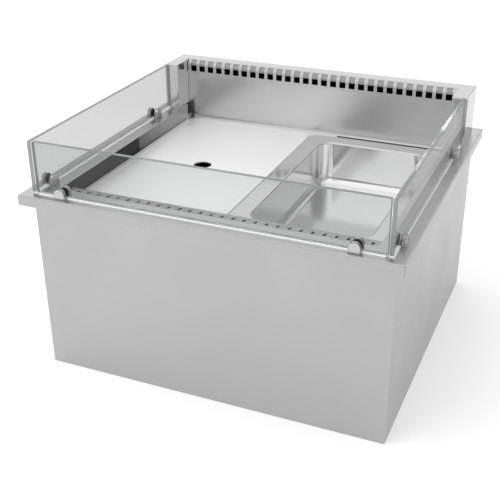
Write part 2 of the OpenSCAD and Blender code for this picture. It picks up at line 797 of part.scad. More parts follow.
module clamp_bodies() {
    color("silver") {
        difference() {
            at_clamps() difference() {
                rotate([90, 0, 0]) linear_extrude(clamp_depth, center = true)
                    clamp_outline(clamp_w, clamp_h, clamp_r);
                translate([-clamp_w, -clamp_span / 2, clamp_web])
                    cube([2 * clamp_w, clamp_span, clamp_h]);
                translate([0, clamp_span / 2 - 1, clamp_h / 2]) rotate([-90, 0, 0])
                    cylinder(r = 2.55, h = clamp_jaw + 2);
            }
            at_clamp_screws() translate([0, 0, -1]) cylinder(r = 2.55, h = 9);
        }
    }
}

module clamp_pads() {
    color("dimgray") at_clamps() for (s = [-1, 1])
        translate([0, s * (glass_t + pad_t) / 2, clamp_web + 0.1]) rotate([90, 0, 0])
            linear_extrude(pad_t, center = true)
            clamp_outline(clamp_w - 4, clamp_h - clamp_web - 3, clamp_r - 3);
}

module clamp_set_screws() {
    color("silver") at_clamps()
        translate([0, clamp_span / 2, clamp_h / 2]) rotate([-90, 0, 0]) difference() {
            cylinder(r = 2.5, h = clamp_jaw - 1);
            translate([0, 0, clamp_jaw - 4]) cylinder(r = 1.4, h = 5);
        }
}

module clamp_mount_screws() {
    color("silver") at_clamp_screws() {
        translate([0, 0, -flange_t - 2.4]) difference() {
            cylinder(r = 3.5, h = 2.4);
            translate([0, 0, -1]) cylinder(r = 1.5, h = 2.4);
        }
        translate([0, 0, -flange_t - 0.1]) cylinder(r = 2.5, h = flange_t + 7);
    }
}

// Places of the two fans, local Z pointing back along the air stream
module at_fans(y) {
    for (s = [-1, 1]) translate([s * fan_x, y, fan_z]) rotate([-90, 0, 0]) children();
}

// Places of the four fixing holes of a fan
module fan_corners() {
    c = fan_side / 2 - 7;
    for (sx = [-1, 1], sy = [-1, 1]) translate([sx * c, sy * c, 0]) children();
}

module fan_plate() {
    color("silver") difference() {
        box([-tank_x + 0.1, fan_plate_y, tank_floor],
            [tank_x - 0.1, fan_plate_y + panel_t, deck_z - panel_t]);
        at_fans(fan_plate_y) {
            cylinder(r = fan_bore, h = 10, center = true);
            fan_corners() cylinder(r = 2.05, h = 10, center = true);
        }
        translate([0, fan_plate_y, tank_floor]) cube([60, 10, 12], center = true);
    }
}

module fan_frames() {
    hub = fan_hub - 4;
    color("dimgray") at_fans(fan_y) {
        difference() {
            union() {
                linear_extrude(4) round_rect(fan_side, fan_side, 6);
                translate([0, 0, fan_t - 4]) linear_extrude(4)
                    round_rect(fan_side, fan_side, 6);
                cylinder(r = fan_bore + 2, h = fan_t);
            }
            translate([0, 0, -1]) cylinder(r = fan_bore, h = fan_t + 2);
            fan_corners() translate([0, 0, -1]) cylinder(r = 2.05, h = fan_t + 2);
        }
        // motor carried by four arms, with the fixed shaft
        translate([0, 0, 18]) cylinder(r = hub - 2, h = fan_t - 18);
        for (a = [0, 90, 180, 270]) rotate(a + 45)
            translate([hub - 4, -3, fan_t - 4]) cube([fan_bore - hub + 5, 6, 4]);
        translate([0, 0, 7]) cylinder(r = fan_shaft, h = 14);
    }
    // block on each frame that its lead runs into
    color("dimgray") for (s = [-1, 1]) mirror([s < 0 ? 1 : 0, 0, 0])
        box([fan_x - fan_bore - 5, gland_at[1] - 5, lead_z - 5],
            [fan_x - fan_bore - 0.3, gland_at[1] + 5, lead_z + 5]);
}

// Rotor about local Z: cup-shaped hub, bored boss and pitched blades
module rotor() {
    difference() {
        union() {
            difference() {
                cylinder(r = fan_hub, h = 24);
                translate([0, 0, 3]) cylinder(r = fan_hub - 2.5, h = 30);
            }
            cylinder(r = 8, h = 9);
            intersection() {
                cylinder(r = rotor_r, h = 24);
                for (i = [0:fan_blades - 1]) rotate(i * 360 / fan_blades)
                    translate([fan_hub - 1, 0, 12]) rotate([38, 0, 0])
                    translate([0, -15, -0.8]) cube([rotor_r, 30, 1.6]);
            }
        }
        translate([0, 0, -1]) cylinder(r = fan_shaft + shaft_clear, h = 20);
    }
}

module fan_rotor_left() {
    color("black") translate([-fan_x, fan_y + 6, fan_z]) rotate([-90, 0, 0]) rotor();
}

module fan_rotor_right() {
    color("black") translate([fan_x, fan_y + 6, fan_z]) rotate([-90, 0, 0]) rotor();
}

module fan_guards() {
    wire = 2.4;
    c = (fan_side / 2 - 7) * sqrt(2);
    color("silver") at_fans(fan_plate_y - wire) linear_extrude(wire) {
        for (r = [14, 27, 40, 53]) difference() {
            circle(r + wire / 2);
            circle(r - wire / 2);
        }
        for (a = [45, 135, 225, 315]) rotate(a) difference() {
            union() {
                translate([14, -wire / 2]) square([c - 16, wire]);
                translate([c, 0]) circle(4.6);
            }
            translate([c, 0]) circle(2.05);
        }
    }
}

module fan_screws() {
    color("silver") at_fans(fan_plate_y - 2.4) fan_corners() {
        translate([0, 0, -2.2]) difference() {
            cylinder(r = 4, h = 2.2);
            translate([0, 0, -1]) cylinder(r = 1.6, h = 2);
        }
        translate([0, 0, -0.1]) cylinder(r = 2, h = 11);
    }
}

// Holes for the coil's tubes
module tube_holes(r) {
    for (y = tube_cols, z = tube_rows) translate([0, y, z]) rotate([0, 90, 0])
        cylinder(r = r, h = coil_l + 20, center = true);
}

module evaporator_fins() {
    color("lightsteelblue") difference() {
        row(fin_n, (coil_l - 20) / (fin_n - 1)) translate([0, coil_y, coil_z + coil_h / 2])
            cube([fin_t, coil_d, coil_h], center = true);
        tube_holes(tube_r + tube_clear);
    }
}

module evaporator_end_plates() {
    color("silver") difference() {
        for (s = [-1, 1]) mirror([s < 0 ? 1 : 0, 0, 0]) {
            box([coil_l / 2 - 1.5, coil_y - coil_d / 2, tank_floor],
                [coil_l / 2, coil_y + coil_d / 2, coil_z + coil_h]);
            box([coil_l / 2 - 16, coil_y - coil_d / 2, tank_floor],
                [coil_l / 2, coil_y + coil_d / 2, tank_floor + 1.5]);
        }
        tube_holes(tube_r + tube_clear);
    }
}

// Half ring joining two tube ends, opening towards -X, drawn at the origin
module return_bend() {
    intersection() {
        rotate_extrude() translate([tube_pitch / 2, 0]) circle(tube_r);
        translate([0, -tube_pitch, -tube_pitch]) cube(2 * tube_pitch);
    }
}

module evaporator_tubes() {
    end = coil_l / 2 + 6;
    r0 = tube_rows[0];
    r1 = tube_rows[1];
    r2 = tube_rows[2];
    color("peru") {
        for (y = tube_cols, z = tube_rows) translate([0, y, z]) rotate([0, 90, 0])
            cylinder(r = tube_r, h = 2 * end, center = true);
        for (y = tube_cols) {
            translate([end, y, (r1 + r2) / 2]) rotate([90, 0, 0]) return_bend();
            translate([-end, y, (r0 + r1) / 2]) mirror([1, 0, 0]) rotate([90, 0, 0])
                return_bend();
        }
        translate([-end, coil_y, r2]) mirror([1, 0, 0]) return_bend();
    }
}

// Pipe from the coil's end out and down through the floor, with its thinner free end
module drop_pipe(at, stub_r, bend) {
    r = stub_r + stub_step;
    x0 = coil_l / 2 + 6;
    z = tube_rows[0];
    translate([x0, at[1], z]) rotate([0, 90, 0]) cylinder(r = r, h = at[0] - bend - x0);
    translate([at[0] - bend, at[1], z - bend]) intersection() {
        rotate([90, 0, 0]) rotate_extrude() translate([bend, 0]) circle(r);
        translate([0, -50, 0]) cube(100);
    }
    translate([at[0], at[1], stub_top]) cylinder(r = r, h = z - bend - stub_top);
    translate([at[0], at[1], stub_z]) cylinder(r = stub_r, h = stub_top - stub_z);
}

module suction_pipe() {
    color("peru") drop_pipe(suction_at, suction_r, 15);
}

module liquid_pipe() {
    color("peru") drop_pipe(liquid_at, liquid_r, 12);
}

module drain_spout() {
    color("silver") translate([drain_at[0], drain_at[1], stub_z]) difference() {
        union() {
            cylinder(r = drain_r, h = stub_top - stub_z);
            translate([0, 0, stub_top - stub_z])
                cylinder(r = spout_r, h = tank_floor - tank_t - stub_top);
        }
        translate([0, 0, -1]) cylinder(r = drain_r - drain_t, h = tank_floor);
    }
}

module drain_strainer() {
    color("silver") translate([drain_at[0], drain_at[1], tank_floor]) difference() {
        union() {
            cylinder(r = drain_r + 6, h = 1.2);
            translate([0, 0, -5]) difference() {
                cylinder(r = drain_r - drain_t - 0.3, h = 6);
                translate([0, 0, -1]) cylinder(r = drain_r - drain_t - 1.5, h = 6);
            }
        }
        for (a = [0:45:315]) rotate(a) translate([6, 0, -2]) cylinder(r = 1.6, h = 6);
        translate([0, 0, -2]) cylinder(r = 1.6, h = 6);
    }
}

module temperature_probe() {
    color("silver") translate([0, fan_plate_y - 6, deck_z - 24]) rotate([0, 90, 0])
        cylinder(r = 2.5, h = 60, center = true);
}

module probe_clip() {
    color("dimgray") difference() {
        box([-6, fan_plate_y - 10, deck_z - 28], [6, fan_plate_y, deck_z - 20]);
        translate([0, fan_plate_y - 6, deck_z - 24]) rotate([0, 90, 0])
            cylinder(r = 2.55, h = 60, center = true);
    }
}

module terminal_box() {
    color("lightgray") difference() {
        box([-36, fan_y, box_z], [36, fan_y + 34, box_z + 52]);
        box([-33.5, fan_y + 2.5, box_z + 2.5], [33.5, fan_y + 40, box_z + 49.5]);
        translate([0, gland_at[1], box_z]) cylinder(r = lead_r + 0.05, h = 10, center = true);
        for (s = [-1, 1]) translate([s * 35, gland_at[1], lead_z])
            rotate([0, 90, 0]) cylinder(r = 2.05, h = 10, center = true);
    }
}

module terminal_box_lid() {
    color("lightgray") difference() {
        union() {
            box([-36, fan_y + 34, box_z], [36, fan_y + 37, box_z + 52]);
            box([-33, fan_y + 31, box_z + 3], [33, fan_y + 35, box_z + 49]);
        }
        box([-31, fan_y + 30, box_z + 5], [31, fan_y + 34.5, box_z + 47]);
    }
}

module inner_leads() {
    side = fan_x - fan_bore - 5;
    color("black") {
        translate([0, gland_at[1], bottom_z - gland_len - 1])
            cylinder(r = lead_r, h = box_z + 5 - bottom_z + gland_len);
        for (s = [-1, 1]) mirror([s < 0 ? 1 : 0, 0, 0])
            translate([24, gland_at[1], lead_z]) rotate([0, 90, 0])
            cylinder(r = 2, h = side - 24);
    }
}

module cable_gland() {
    color("dimgray") translate([gland_at[0], gland_at[1], 0]) difference() {
        union() {
            translate([0, 0, bottom_z - 0.5]) cylinder(r = gland_r, h = 8);
            translate([0, 0, bottom_z + case_t]) cylinder(r = gland_r + 3, h = 4);
            translate([0, 0, bottom_z - gland_len]) cylinder(r = gland_r + 2, h = gland_len);
        }
        cylinder(r = lead_r + 0.05, h = tank_floor);
    }
}

// Grommet round one pipe in the bottom panel
module grommet(at, r) {
    translate([at[0], at[1], bottom_z - 2]) difference() {
        union() {
            cylinder(r = r + 5, h = 2);
            cylinder(r = r + 2.25, h = 2 + case_t);
        }
        translate([0, 0, -1]) cylinder(r = r + 0.05, h = 10);
    }
}

module pipe_grommets() {
    color("black") {
        grommet(suction_at, suction_pipe_r);
        grommet(liquid_at, liquid_pipe_r);
    }
}

casing_wrap();
casing_rear_panel();
casing_bottom_panel();
casing_rivets();
insulation_shell();
inner_tank();
top_flange();
hood_shell();
hood_screws();
air_outlet_comb();
rear_air_panel();
return_air_panel();
side_liner_left();
side_liner_right();
corner_seals();
center_bar();
baffle_deck();
display_plate();
food_pan();
glass_front();
glass_left();
glass_right();
glass_strips_front();
glass_strips_side();
clamp_bodies();
clamp_pads();
clamp_set_screws();
clamp_mount_screws();
fan_plate();
fan_frames();
fan_rotor_left();
fan_rotor_right();
fan_guards();
fan_screws();
evaporator_fins();
evaporator_end_plates();
evaporator_tubes();
suction_pipe();
liquid_pipe();
drain_spout();
drain_strainer();
temperature_probe();
probe_clip();
terminal_box();
terminal_box_lid();
inner_leads();
cable_gland();
pipe_grommets();
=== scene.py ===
"""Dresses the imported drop-in food well: brushed and polished steel, glass guards, pan and plate."""
import json
import logging
import math
from dataclasses import dataclass
from enum import Enum
from typing import Dict, List, Sequence, Tuple

import bmesh
import bpy
import numpy as np
from bpy.types import ID, Material, Node, NodeSocket, NodeTree, Object
from mathutils import Matrix, Vector


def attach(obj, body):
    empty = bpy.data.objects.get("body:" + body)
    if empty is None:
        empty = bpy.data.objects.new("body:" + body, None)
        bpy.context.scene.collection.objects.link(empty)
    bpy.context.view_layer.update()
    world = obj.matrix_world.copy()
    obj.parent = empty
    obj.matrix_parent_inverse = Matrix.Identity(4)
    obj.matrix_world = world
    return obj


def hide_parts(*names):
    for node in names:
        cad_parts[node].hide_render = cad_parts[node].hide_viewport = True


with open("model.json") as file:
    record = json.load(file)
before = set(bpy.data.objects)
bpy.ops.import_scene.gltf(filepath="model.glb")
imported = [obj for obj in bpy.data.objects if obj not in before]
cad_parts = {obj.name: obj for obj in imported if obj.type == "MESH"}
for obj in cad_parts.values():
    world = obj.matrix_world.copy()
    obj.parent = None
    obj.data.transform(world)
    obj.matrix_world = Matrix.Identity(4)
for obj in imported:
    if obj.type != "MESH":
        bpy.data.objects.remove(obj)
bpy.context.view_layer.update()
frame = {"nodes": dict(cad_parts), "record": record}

LOG = logging.getLogger("food_well")
MM = 0.001
MERGE_WITHIN = 1e-7
BUMP_DEPTH = 0.0002
MIX_SOCKETS = {"FLOAT": (2, 3, 0), "RGBA": (6, 7, 2)}
Pair = Tuple[float, float]
Vec3 = Tuple[float, float, float]
Colour = Tuple[float, float, float]
Finishes = Dict[str, Material]


def mm(*sizes: float) -> Tuple[float, ...]:
    """Turns millimetres into metres."""
    return tuple(size * MM for size in sizes)


def grey(level: float) -> Colour:
    """Gives the grey of one level."""
    return (level, level, level)


class Grain(Enum):
    """Direction that a sheet was brushed in: the stretch of its grain along X, Y and Z."""

    ALONG_X = (6.0, 900.0, 900.0)
    ALONG_Y = (900.0, 6.0, 900.0)
    ALONG_Z = (900.0, 900.0, 6.0)
    NONE = (260.0, 260.0, 260.0)


class Plane(Enum):
    """Plane that a flat piece's outline lies in, as the axes of its width, height and thickness."""

    FACING_FRONT = (0, 2, 1)
    FACING_SIDE = (1, 2, 0)


# Surfaces worked out with numpy


def arc(centre: Pair, radius: float, start: float, stop: float, steps: int = 10) -> np.ndarray:
    """Gives points on an arc: centre + radius * (cos a, sin a).

    The angle a runs evenly from start to stop.

    Args:
        centre: middle of the arc.
        radius: distance of the points from it.
        start: first angle in degrees.
        stop: last angle in degrees.
        steps: number of steps between them.

    Returns:
        Array of (steps + 1, 2) points.
    """
    angle = np.radians(np.linspace(start, stop, steps + 1))
    return np.column_stack([centre[0] + radius * np.cos(angle),
                            centre[1] + radius * np.sin(angle)])


def corner_angles(steps: int, shrink: float = 0.0) -> np.ndarray:
    """Gives the angles of four corners' points, anticlockwise from the right-hand side.

    Corner k runs from 90 k + shrink to 90 (k + 1) - shrink degrees.

    Args:
        steps: steps in each corner.
        shrink: degrees left out at both ends of each corner.

    Returns:
        Array of 4 * (steps + 1) angles in radians.
    """
    one = np.linspace(shrink, 90.0 - shrink, steps + 1)
    return np.radians((one[None, :] + 90.0 * np.arange(4)[:, None]).ravel())


def round_rectangle(width: float, depth: float, radius: float, steps: int = 12) -> np.ndarray:
    """Gives the outline of a rectangle with round corners.

    A point is its corner's centre, at (+-(width/2 - radius), +-(depth/2 - radius)), plus
    radius * (cos a, sin a) with a running through that corner's quarter turn.

    Args:
        width: size along the first axis.
        depth: size along the second axis.
        radius: corner radius.
        steps: steps in each corner.

    Returns:
        Array of (4 * (steps + 1), 2) points, anticlockwise.
    """
    angle = corner_angles(steps)
    sign_x = np.repeat([1.0, -1.0, -1.0, 1.0], steps + 1)
    sign_y = np.repeat([1.0, 1.0, -1.0, -1.0], steps + 1)
    return np.column_stack([sign_x * (width / 2 - radius) + radius * np.cos(angle),
                            sign_y * (depth / 2 - radius) + radius * np.sin(angle)])


def hole_outline(centre: Pair, radius: float, steps: int = 12) -> np.ndarray:
    """Gives a circle whose points match a round rectangle's, corner for corner.

    Args:
        centre: middle of the hole.
        radius: its radius.
        steps: steps in each quarter.

    Returns:
        Array of (4 * (steps + 1), 2) points, anticlockwise.
    """
    angle = corner_angles(steps, 45.0 / (steps + 1))
    return np.column_stack([centre[0] + radius * np.cos(angle),
                            centre[1] + radius * np.sin(angle)])


def at_height(outline: np.ndarray, height: float) -> np.ndarray:
    """Lifts a flat outline to a height, as an array of (n, 3) points."""
    return np.column_stack([outline, np.full(len(outline), height)])


def shell_from_rings(name: str, rings: np.ndarray, endless: bool = False,
                     sharp: float = 32.0) -> Object:
    """Makes a closed mesh through a stack of rings with equal point counts.

    Point j of ring i is joined to point j of ring i + 1 and to its neighbour j + 1, round the
    ring. The first and last rings are closed by a face, or joined to each other.

    Args:
        name: name of the piece.
        rings: array of (rings, points, 3), in metres.
        endless: True joins the last ring to the first.
        sharp: edges that turn by more than this many degrees stay sharp.

    Returns:
        The new object, with its faces pointing outwards.
    """
    count, around = rings.shape[:2]
    index = np.arange(count * around).reshape(count, around)
    lower = index if endless else index[:-1]
    upper = np.roll(index, -1, axis=0) if endless else index[1:]
    quads = np.stack([lower, np.roll(lower, -1, axis=1), np.roll(upper, -1, axis=1), upper],
                     axis=-1).reshape(-1, 4)
    faces: List[List[int]] = quads.tolist()
    if not endless:
        faces.append(index[0][::-1].tolist())
        faces.append(index[-1].tolist())
    return closed_mesh(name, rings.reshape(-1, 3), faces, sharp)


def into_scene(name: str, data: ID) -> Object:
    """Puts new data into the scene as an object at the origin.

    Args:
        name: name of the object.
        data: its mesh, camera or light.

    Returns:
        The new object.
    """
    made = bpy.data.objects.new(name, data)
    bpy.context.scene.collection.objects.link(made)
    return made


def closed_mesh(name: str, points: np.ndarray, faces: Sequence[Sequence[int]],
                sharp: float) -> Object:
    """Makes an object from points and faces, merged, turned outwards and smoothed.

    Args:
        name: name of the piece.
        points: array of (n, 3), in metres.
        faces: lists of point numbers.
        sharp: edges that turn by more than this many degrees stay sharp.

    Returns:
        The new object, in the scene, at the origin.
    """
    mesh = bpy.data.meshes.new(name)
    mesh.from_pydata(points.tolist(), [], faces)
    work = bmesh.new()
    work.from_mesh(mesh)
    bmesh.ops.remove_doubles(work, verts=work.verts, dist=MERGE_WITHIN)
    bmesh.ops.recalc_face_normals(work, faces=work.faces)
    work.to_mesh(mesh)
    work.free()
    mesh.shade_smooth()
    mesh.set_sharp_from_angle(angle=math.radians(sharp))
    piece = into_scene(name, mesh)
    level_faces(piece)
    return piece


def level_faces(piece: Object) -> None:
    """Lets a piece's large flat faces set the shading at their rims, so that they stay flat.

    Args:
        piece: the object.
    """
    modifier = piece.modifiers.new("level_faces", "WEIGHTED_NORMAL")
    modifier.mode = "FACE_AREA"
    modifier.weight = 90
    modifier.keep_sharp = True


def joined(name: str, parts: Sequence[Object]) -> Object:
    """Joins several meshes that sit at the origin into one object.

    Args:
        name: name of the result.
        parts: the objects, which are used up.

    Returns:
        The one object.
    """
    work = bmesh.new()
    for part in parts:
        work.from_mesh(part.data)
        old = part.data
        bpy.data.objects.remove(part)
        bpy.data.meshes.remove(old)
    mesh = bpy.data.meshes.new(name)
    work.to_mesh(mesh)
    work.free()
    piece = into_scene(name, mesh)
    level_faces(piece)
    return piece


def bar_along_x(name: str, section: np.ndarray, half: float) -> Object:
    """Makes a bar of one section in Y and Z, carried along X from -half to +half.

    Args:
        name: name of the piece.
        section: array of (n, 2) points in Y and Z, in metres.
        half: half the bar's length.

    Returns:
        The new object.
    """
    ends = [np.column_stack([np.full(len(section), x), section]) for x in (-half, half)]
    return shell_from_rings(name, np.stack(ends))


def bevelled_slab(outlines: Sequence[np.ndarray], plane: Plane, low: float, high: float,
                  bevel: float) -> np.ndarray:
    """Gives the rings of a slab whose edges are rounded.

    With a running evenly from 0 to a quarter turn, ring k of the lower half uses outline k and
    lies bevel * (1 - cos a) above the lower face. The upper half is its mirror image.

    Args:
        outlines: the outline at each inset, from the most inset to the full one.
        plane: plane that the outline lies in.
        low: lower face along the thickness.
        high: upper face along the thickness.
        bevel: radius of the edge.

    Returns:
        Array of rings for shell_from_rings.
    """
    turn = np.radians(np.linspace(0.0, 90.0, len(outlines)))
    rise = bevel * (1.0 - np.cos(turn))
    places = np.concatenate([low + rise, high - rise[::-1]])
    stack = np.stack([*outlines, *outlines[::-1]])
    across, up, thick = plane.value
    rings = np.zeros((*stack.shape[:2], 3))
    rings[:, :, across] = stack[:, :, 0]
    rings[:, :, up] = stack[:, :, 1]
    rings[:, :, thick] = places[:, None]
    return rings


def edge_insets(bevel: float, steps: int = 4) -> np.ndarray:
    """Gives the insets of a rounded edge's outlines: bevel * (1 - sin a), a from 0 to 90.

    Args:
        bevel: radius of the edge.
        steps: steps from the most inset outline to the full one.

    Returns:
        Array of steps + 1 insets.
    """
    return bevel * (1.0 - np.sin(np.radians(np.linspace(0.0, 90.0, steps + 1))))


# Shader building blocks


@dataclass(frozen=True)
class Shader:
    """Small helper that adds and wires nodes in one material, world or node group."""

    tree: NodeTree

    def link(self, source: NodeSocket, target: NodeSocket) -> None:
        """Joins an output to an input."""
        self.tree.links.new(source, target)

    def fill(self, target: NodeSocket, value: object) -> None:
        """Gives an input its value.

        Args:
            target: the input.
            value: an output to join it to, or a plain value.
        """
        if isinstance(value, NodeSocket):
            self.link(value, target)
        else:
            target.default_value = value

    def feed(self, made: Node, **values: object) -> None:
        """Fills a node's inputs.

        Args:
            made: the node.
            values: inputs by name, with _ for a space.
        """
        for key, value in values.items():
            self.fill(made.inputs[key.replace("_", " ")], value)

    def node(self, kind: str, **values: object) -> Node:
        """Adds a node.

        Args:
            kind: node type, without its ShaderNode prefix.
            values: node properties, and inputs by name, with _ for a space.

        Returns:
            The new node.
        """
        made = self.tree.nodes.new("ShaderNode" + kind)
        for key, value in values.items():
            if hasattr(made, key):
                setattr(made, key, value)
            else:
                self.feed(made, **{key: value})
        return made

    def group(self, group: NodeTree, **values: object) -> Node:
        """Places a node group.

        Args:
            group: the group to place.
            values: inputs by name, with _ for a space.

        Returns:
            The group's node.
        """
        return self.node("Group", node_tree=group, **values)

    def maths(self, kind: str, operation: str, *terms: object) -> Node:
        """Adds arithmetic on numbers or vectors.

        Args:
            kind: "Math" or "VectorMath".
            operation: what is done with the terms.
            terms: sockets or plain values, in order.

        Returns:
            The new node.
        """
        made = self.node(kind, operation=operation)
        for target, term in zip(made.inputs, terms):
            self.fill(target, term)
        return made

    def scaled(self, colour: object, factor: NodeSocket) -> NodeSocket:
        """Multiplies a colour by a value.

        Args:
            colour: a socket or a plain colour.
            factor: the value.

        Returns:
            The result.
        """
        made = self.node("VectorMath", operation="SCALE", Scale=factor)
        self.fill(made.inputs[0], colour)
        return made.outputs[0]

    def mix(self, kind: str, share: NodeSocket, first: object, second: object) -> NodeSocket:
        """Mixes two numbers or two colours.

        Args:
            kind: "FLOAT" or "RGBA".
            share: how much of the second is taken.
            first: the first of them, a socket or a plain value.
            second: the second.

        Returns:
            The mixture.
        """
        first_at, second_at, result_at = MIX_SOCKETS[kind]
        made = self.node("Mix", data_type=kind)
        self.fill(made.inputs[0], share)
        self.fill(made.inputs[first_at], first)
        self.fill(made.inputs[second_at], second)
        return made.outputs[result_at]

    def grey(self, value: NodeSocket) -> NodeSocket:
        """Makes a grey colour of a value."""
        return self.node("CombineColor", Red=value, Green=value, Blue=value).outputs["Color"]

    def emboss(self, surface: Node, height: NodeSocket, strength: float) -> None:
        """Raises a surface by a height.

        Args:
            surface: the shader whose Normal is set.
            height: the height.
            strength: how much of it is taken.
        """
        bump = self.node("Bump", Strength=strength, Distance=BUMP_DEPTH, Height=height)
        self.link(bump.outputs["Normal"], surface.inputs["Normal"])


def new_group(name: str, inputs: Sequence[Tuple[str, str]],
              outputs: Sequence[Tuple[str, str]]) -> Tuple[Shader, Node, Node]:
    """Starts a shader node group with named sockets.

    Args:
        name: name of the group.
        inputs: name and socket type of each input.
        outputs: name and socket type of each output.

    Returns:
        The helper for its tree, its input node and its output node.
    """
    tree = bpy.data.node_groups.new(name, "ShaderNodeTree")
    for label, kind in inputs:
        tree.interface.new_socket(label, in_out="INPUT", socket_type="NodeSocket" + kind)
    for label, kind in outputs:
        tree.interface.new_socket(label, in_out="OUTPUT", socket_type="NodeSocket" + kind)
    shader = Shader(tree)
    return (shader, tree.nodes.new("NodeGroupInput"), tree.nodes.new("NodeGroupOutput"))


def make_grain_group() -> NodeTree:
    """Builds the brushed grain: noise on a position stretched across the brushing.

    Returns:
        Group with Position, Stretch, Low and High in, and Height and Tone out.
    """
    shader, source, sink = new_group(
        "brushed_grain", [("Position", "Vector"), ("Stretch", "Vector"), ("Low", "Float"),
                          ("High", "Float")], [("Height", "Float"), ("Tone", "Float")])
    scaled = shader.maths("VectorMath", "MULTIPLY", source.outputs["Position"],
                          source.outputs["Stretch"])
    noise = shader.node("TexNoise", Scale=1.0, Detail=4.0, Roughness=0.6,
                        Vector=scaled.outputs[0])
    tone = shader.node("MapRange", Value=noise.outputs["Fac"], From_Min=0.3, From_Max=0.7,
                       To_Min=source.outputs["Low"], To_Max=source.outputs["High"])
    shader.link(noise.outputs["Fac"], sink.inputs["Height"])
    shader.link(tone.outputs["Result"], sink.inputs["Tone"])
    return shader.tree


def make_wipe_group() -> NodeTree:
    """Builds the wipe marks: slow cloudy noise between two values.

    Returns:
        Group with Position, Scale, Low and High in, and Value out.
    """
    shader, source, sink = new_group(
        "wipe_marks", [("Position", "Vector"), ("Scale", "Float"), ("Low", "Float"),
                       ("High", "Float")], [("Value", "Float")])
    noise = shader.node("TexNoise", Detail=3.0, Roughness=0.55, Distortion=0.6,
                        Vector=source.outputs["Position"], Scale=source.outputs["Scale"])
    value = shader.node("MapRange", Value=noise.outputs["Fac"], From_Min=0.35, From_Max=0.65,
                        To_Min=source.outputs["Low"], To_Max=source.outputs["High"])
    shader.link(value.outputs["Result"], sink.inputs["Value"])
    return shader.tree


def make_painted_reflection_group() -> NodeTree:
    """Builds the painted reflection's step along Y: one value before a place, and a slope between two
    values after it.

    Returns:
        Group with Position, Place, End, Before, After and Last in, and Value out.
    """
    shader, source, sink = new_group(
        "painted_reflection_step_along_y", [("Position", "Vector"), ("Place", "Float"), ("End", "Float"),
                         ("Before", "Float"), ("After", "Float"), ("Last", "Float")],
        [("Value", "Float")])
    split = shader.node("SeparateXYZ", Vector=source.outputs["Position"])
    slope = shader.node("MapRange", Value=split.outputs["Y"], From_Min=source.outputs["Place"],
                        From_Max=source.outputs["End"], To_Min=source.outputs["After"],
                        To_Max=source.outputs["Last"])
    past = shader.maths("Math", "GREATER_THAN", split.outputs["Y"], source.outputs["Place"])
    value = shader.mix("FLOAT", past.outputs[0], source.outputs["Before"],
                       slope.outputs["Result"])
    shader.link(value, sink.inputs["Value"])
    return shader.tree


def make_painted_shade_group() -> NodeTree:
    """Builds painted shade for one box, in which |place - centre| is under half on every axis.

    Returns:
        Group with Position, Centre, Half and Inside in, and Value out: Inside within the box,
        one outside it.
    """
    shader, source, sink = new_group(
        "painted_shade_in_a_box", [("Position", "Vector"), ("Centre", "Vector"), ("Half", "Vector"),
                           ("Inside", "Float")], [("Value", "Float")])
    shift = shader.maths("VectorMath", "SUBTRACT", source.outputs["Position"],
                         source.outputs["Centre"])
    away = shader.maths("VectorMath", "ABSOLUTE", shift.outputs[0])
    over = shader.maths("VectorMath", "SUBTRACT", away.outputs[0], source.outputs["Half"])
    split = shader.node("SeparateXYZ", Vector=over.outputs[0])
    furthest = shader.maths("Math", "MAXIMUM", split.outputs["X"], split.outputs["Y"])
    furthest = shader.maths("Math", "MAXIMUM", furthest.outputs[0], split.outputs["Z"])
    inside = shader.maths("Math", "LESS_THAN", furthest.outputs[0], 0.0)
    value = shader.mix("FLOAT", inside.outputs[0], 1.0, source.outputs["Inside"])
    shader.link(value, sink.inputs["Value"])
    return shader.tree


@dataclass(frozen=True)
class PaintedShadeBox:
    """Box of painted shade, in metres: inside it a sheet's colour is darkened below what the soft
    studio light gives.
    """

    centre: Vec3
    half: Vec3
    level: float = 0.08


# painted shade: the flange's turned-down front rim and its right rim, darkened as faces that the
# light reaches less
FLANGE_FRONT_RIM_SHADE = PaintedShadeBox(mm(0.0, -359.5, 380.0), mm(400.0, 1.6, 18.6), 0.72)
FLANGE_RIGHT_RIM_SHADE = PaintedShadeBox(mm(385.4, 0.0, 380.0), mm(1.4, 400.0, 18.6), 0.62)
# painted shade: the hood's duct inside, nearly black as a shaded recess, and its right end darkened
# as a face turned from the light
HOOD_INSIDE_SHADE = PaintedShadeBox(mm(0.0, 307.0, 450.0), mm(364.4, 20.4, 57.4))
HOOD_RIGHT_END_SHADE = PaintedShadeBox(mm(366.0, 278.0, 452.0), mm(1.5, 60.0, 51.0), 0.72)
# painted shadow: the gutter in the gap behind the pan's rear edge, nearly black
GAP_BEHIND_PAN_SHADOW = PaintedShadeBox(mm(190.0, 262.0, 358.4), mm(130.0, 30.0, 5.6))
# painted shade: the pan's rim and its left wall, darkened
PAN_RIM_SHADE = PaintedShadeBox(mm(163.0, 6.0, 365.0), mm(170.0, 280.0, 2.0), 0.78)
PAN_LEFT_WALL_SHADE = PaintedShadeBox(mm(36.0, 6.0, 312.0), mm(12.0, 250.0, 48.0), 0.74)


@dataclass(frozen=True)
class Workshop:
    """Node groups that the finishes share."""

    grain: NodeTree
    wipe: NodeTree
    # step: the group that paints the liners' reflection as a step along Y
    step: NodeTree
    # the group that paints shade into one box
    painted_shade_box: NodeTree

    @classmethod
    def open(cls) -> "Workshop":
        """Builds the shared groups once."""
        return cls(make_grain_group(), make_wipe_group(), make_painted_reflection_group(),
                   make_painted_shade_group())

    def wander(self, shader: Shader, position: NodeSocket, scale: float, span: Pair) -> NodeSocket:
        """Places the wipe marks.

        Args:
            shader: the node tree.
            position: the place on the piece.
            scale: how fine the marks are.
            span: the two values that they wander between.

        Returns:
            The value.
        """
        marks = shader.group(self.wipe, Position=position, Scale=scale, Low=span[0],
                             High=span[1])
        return marks.outputs["Value"]


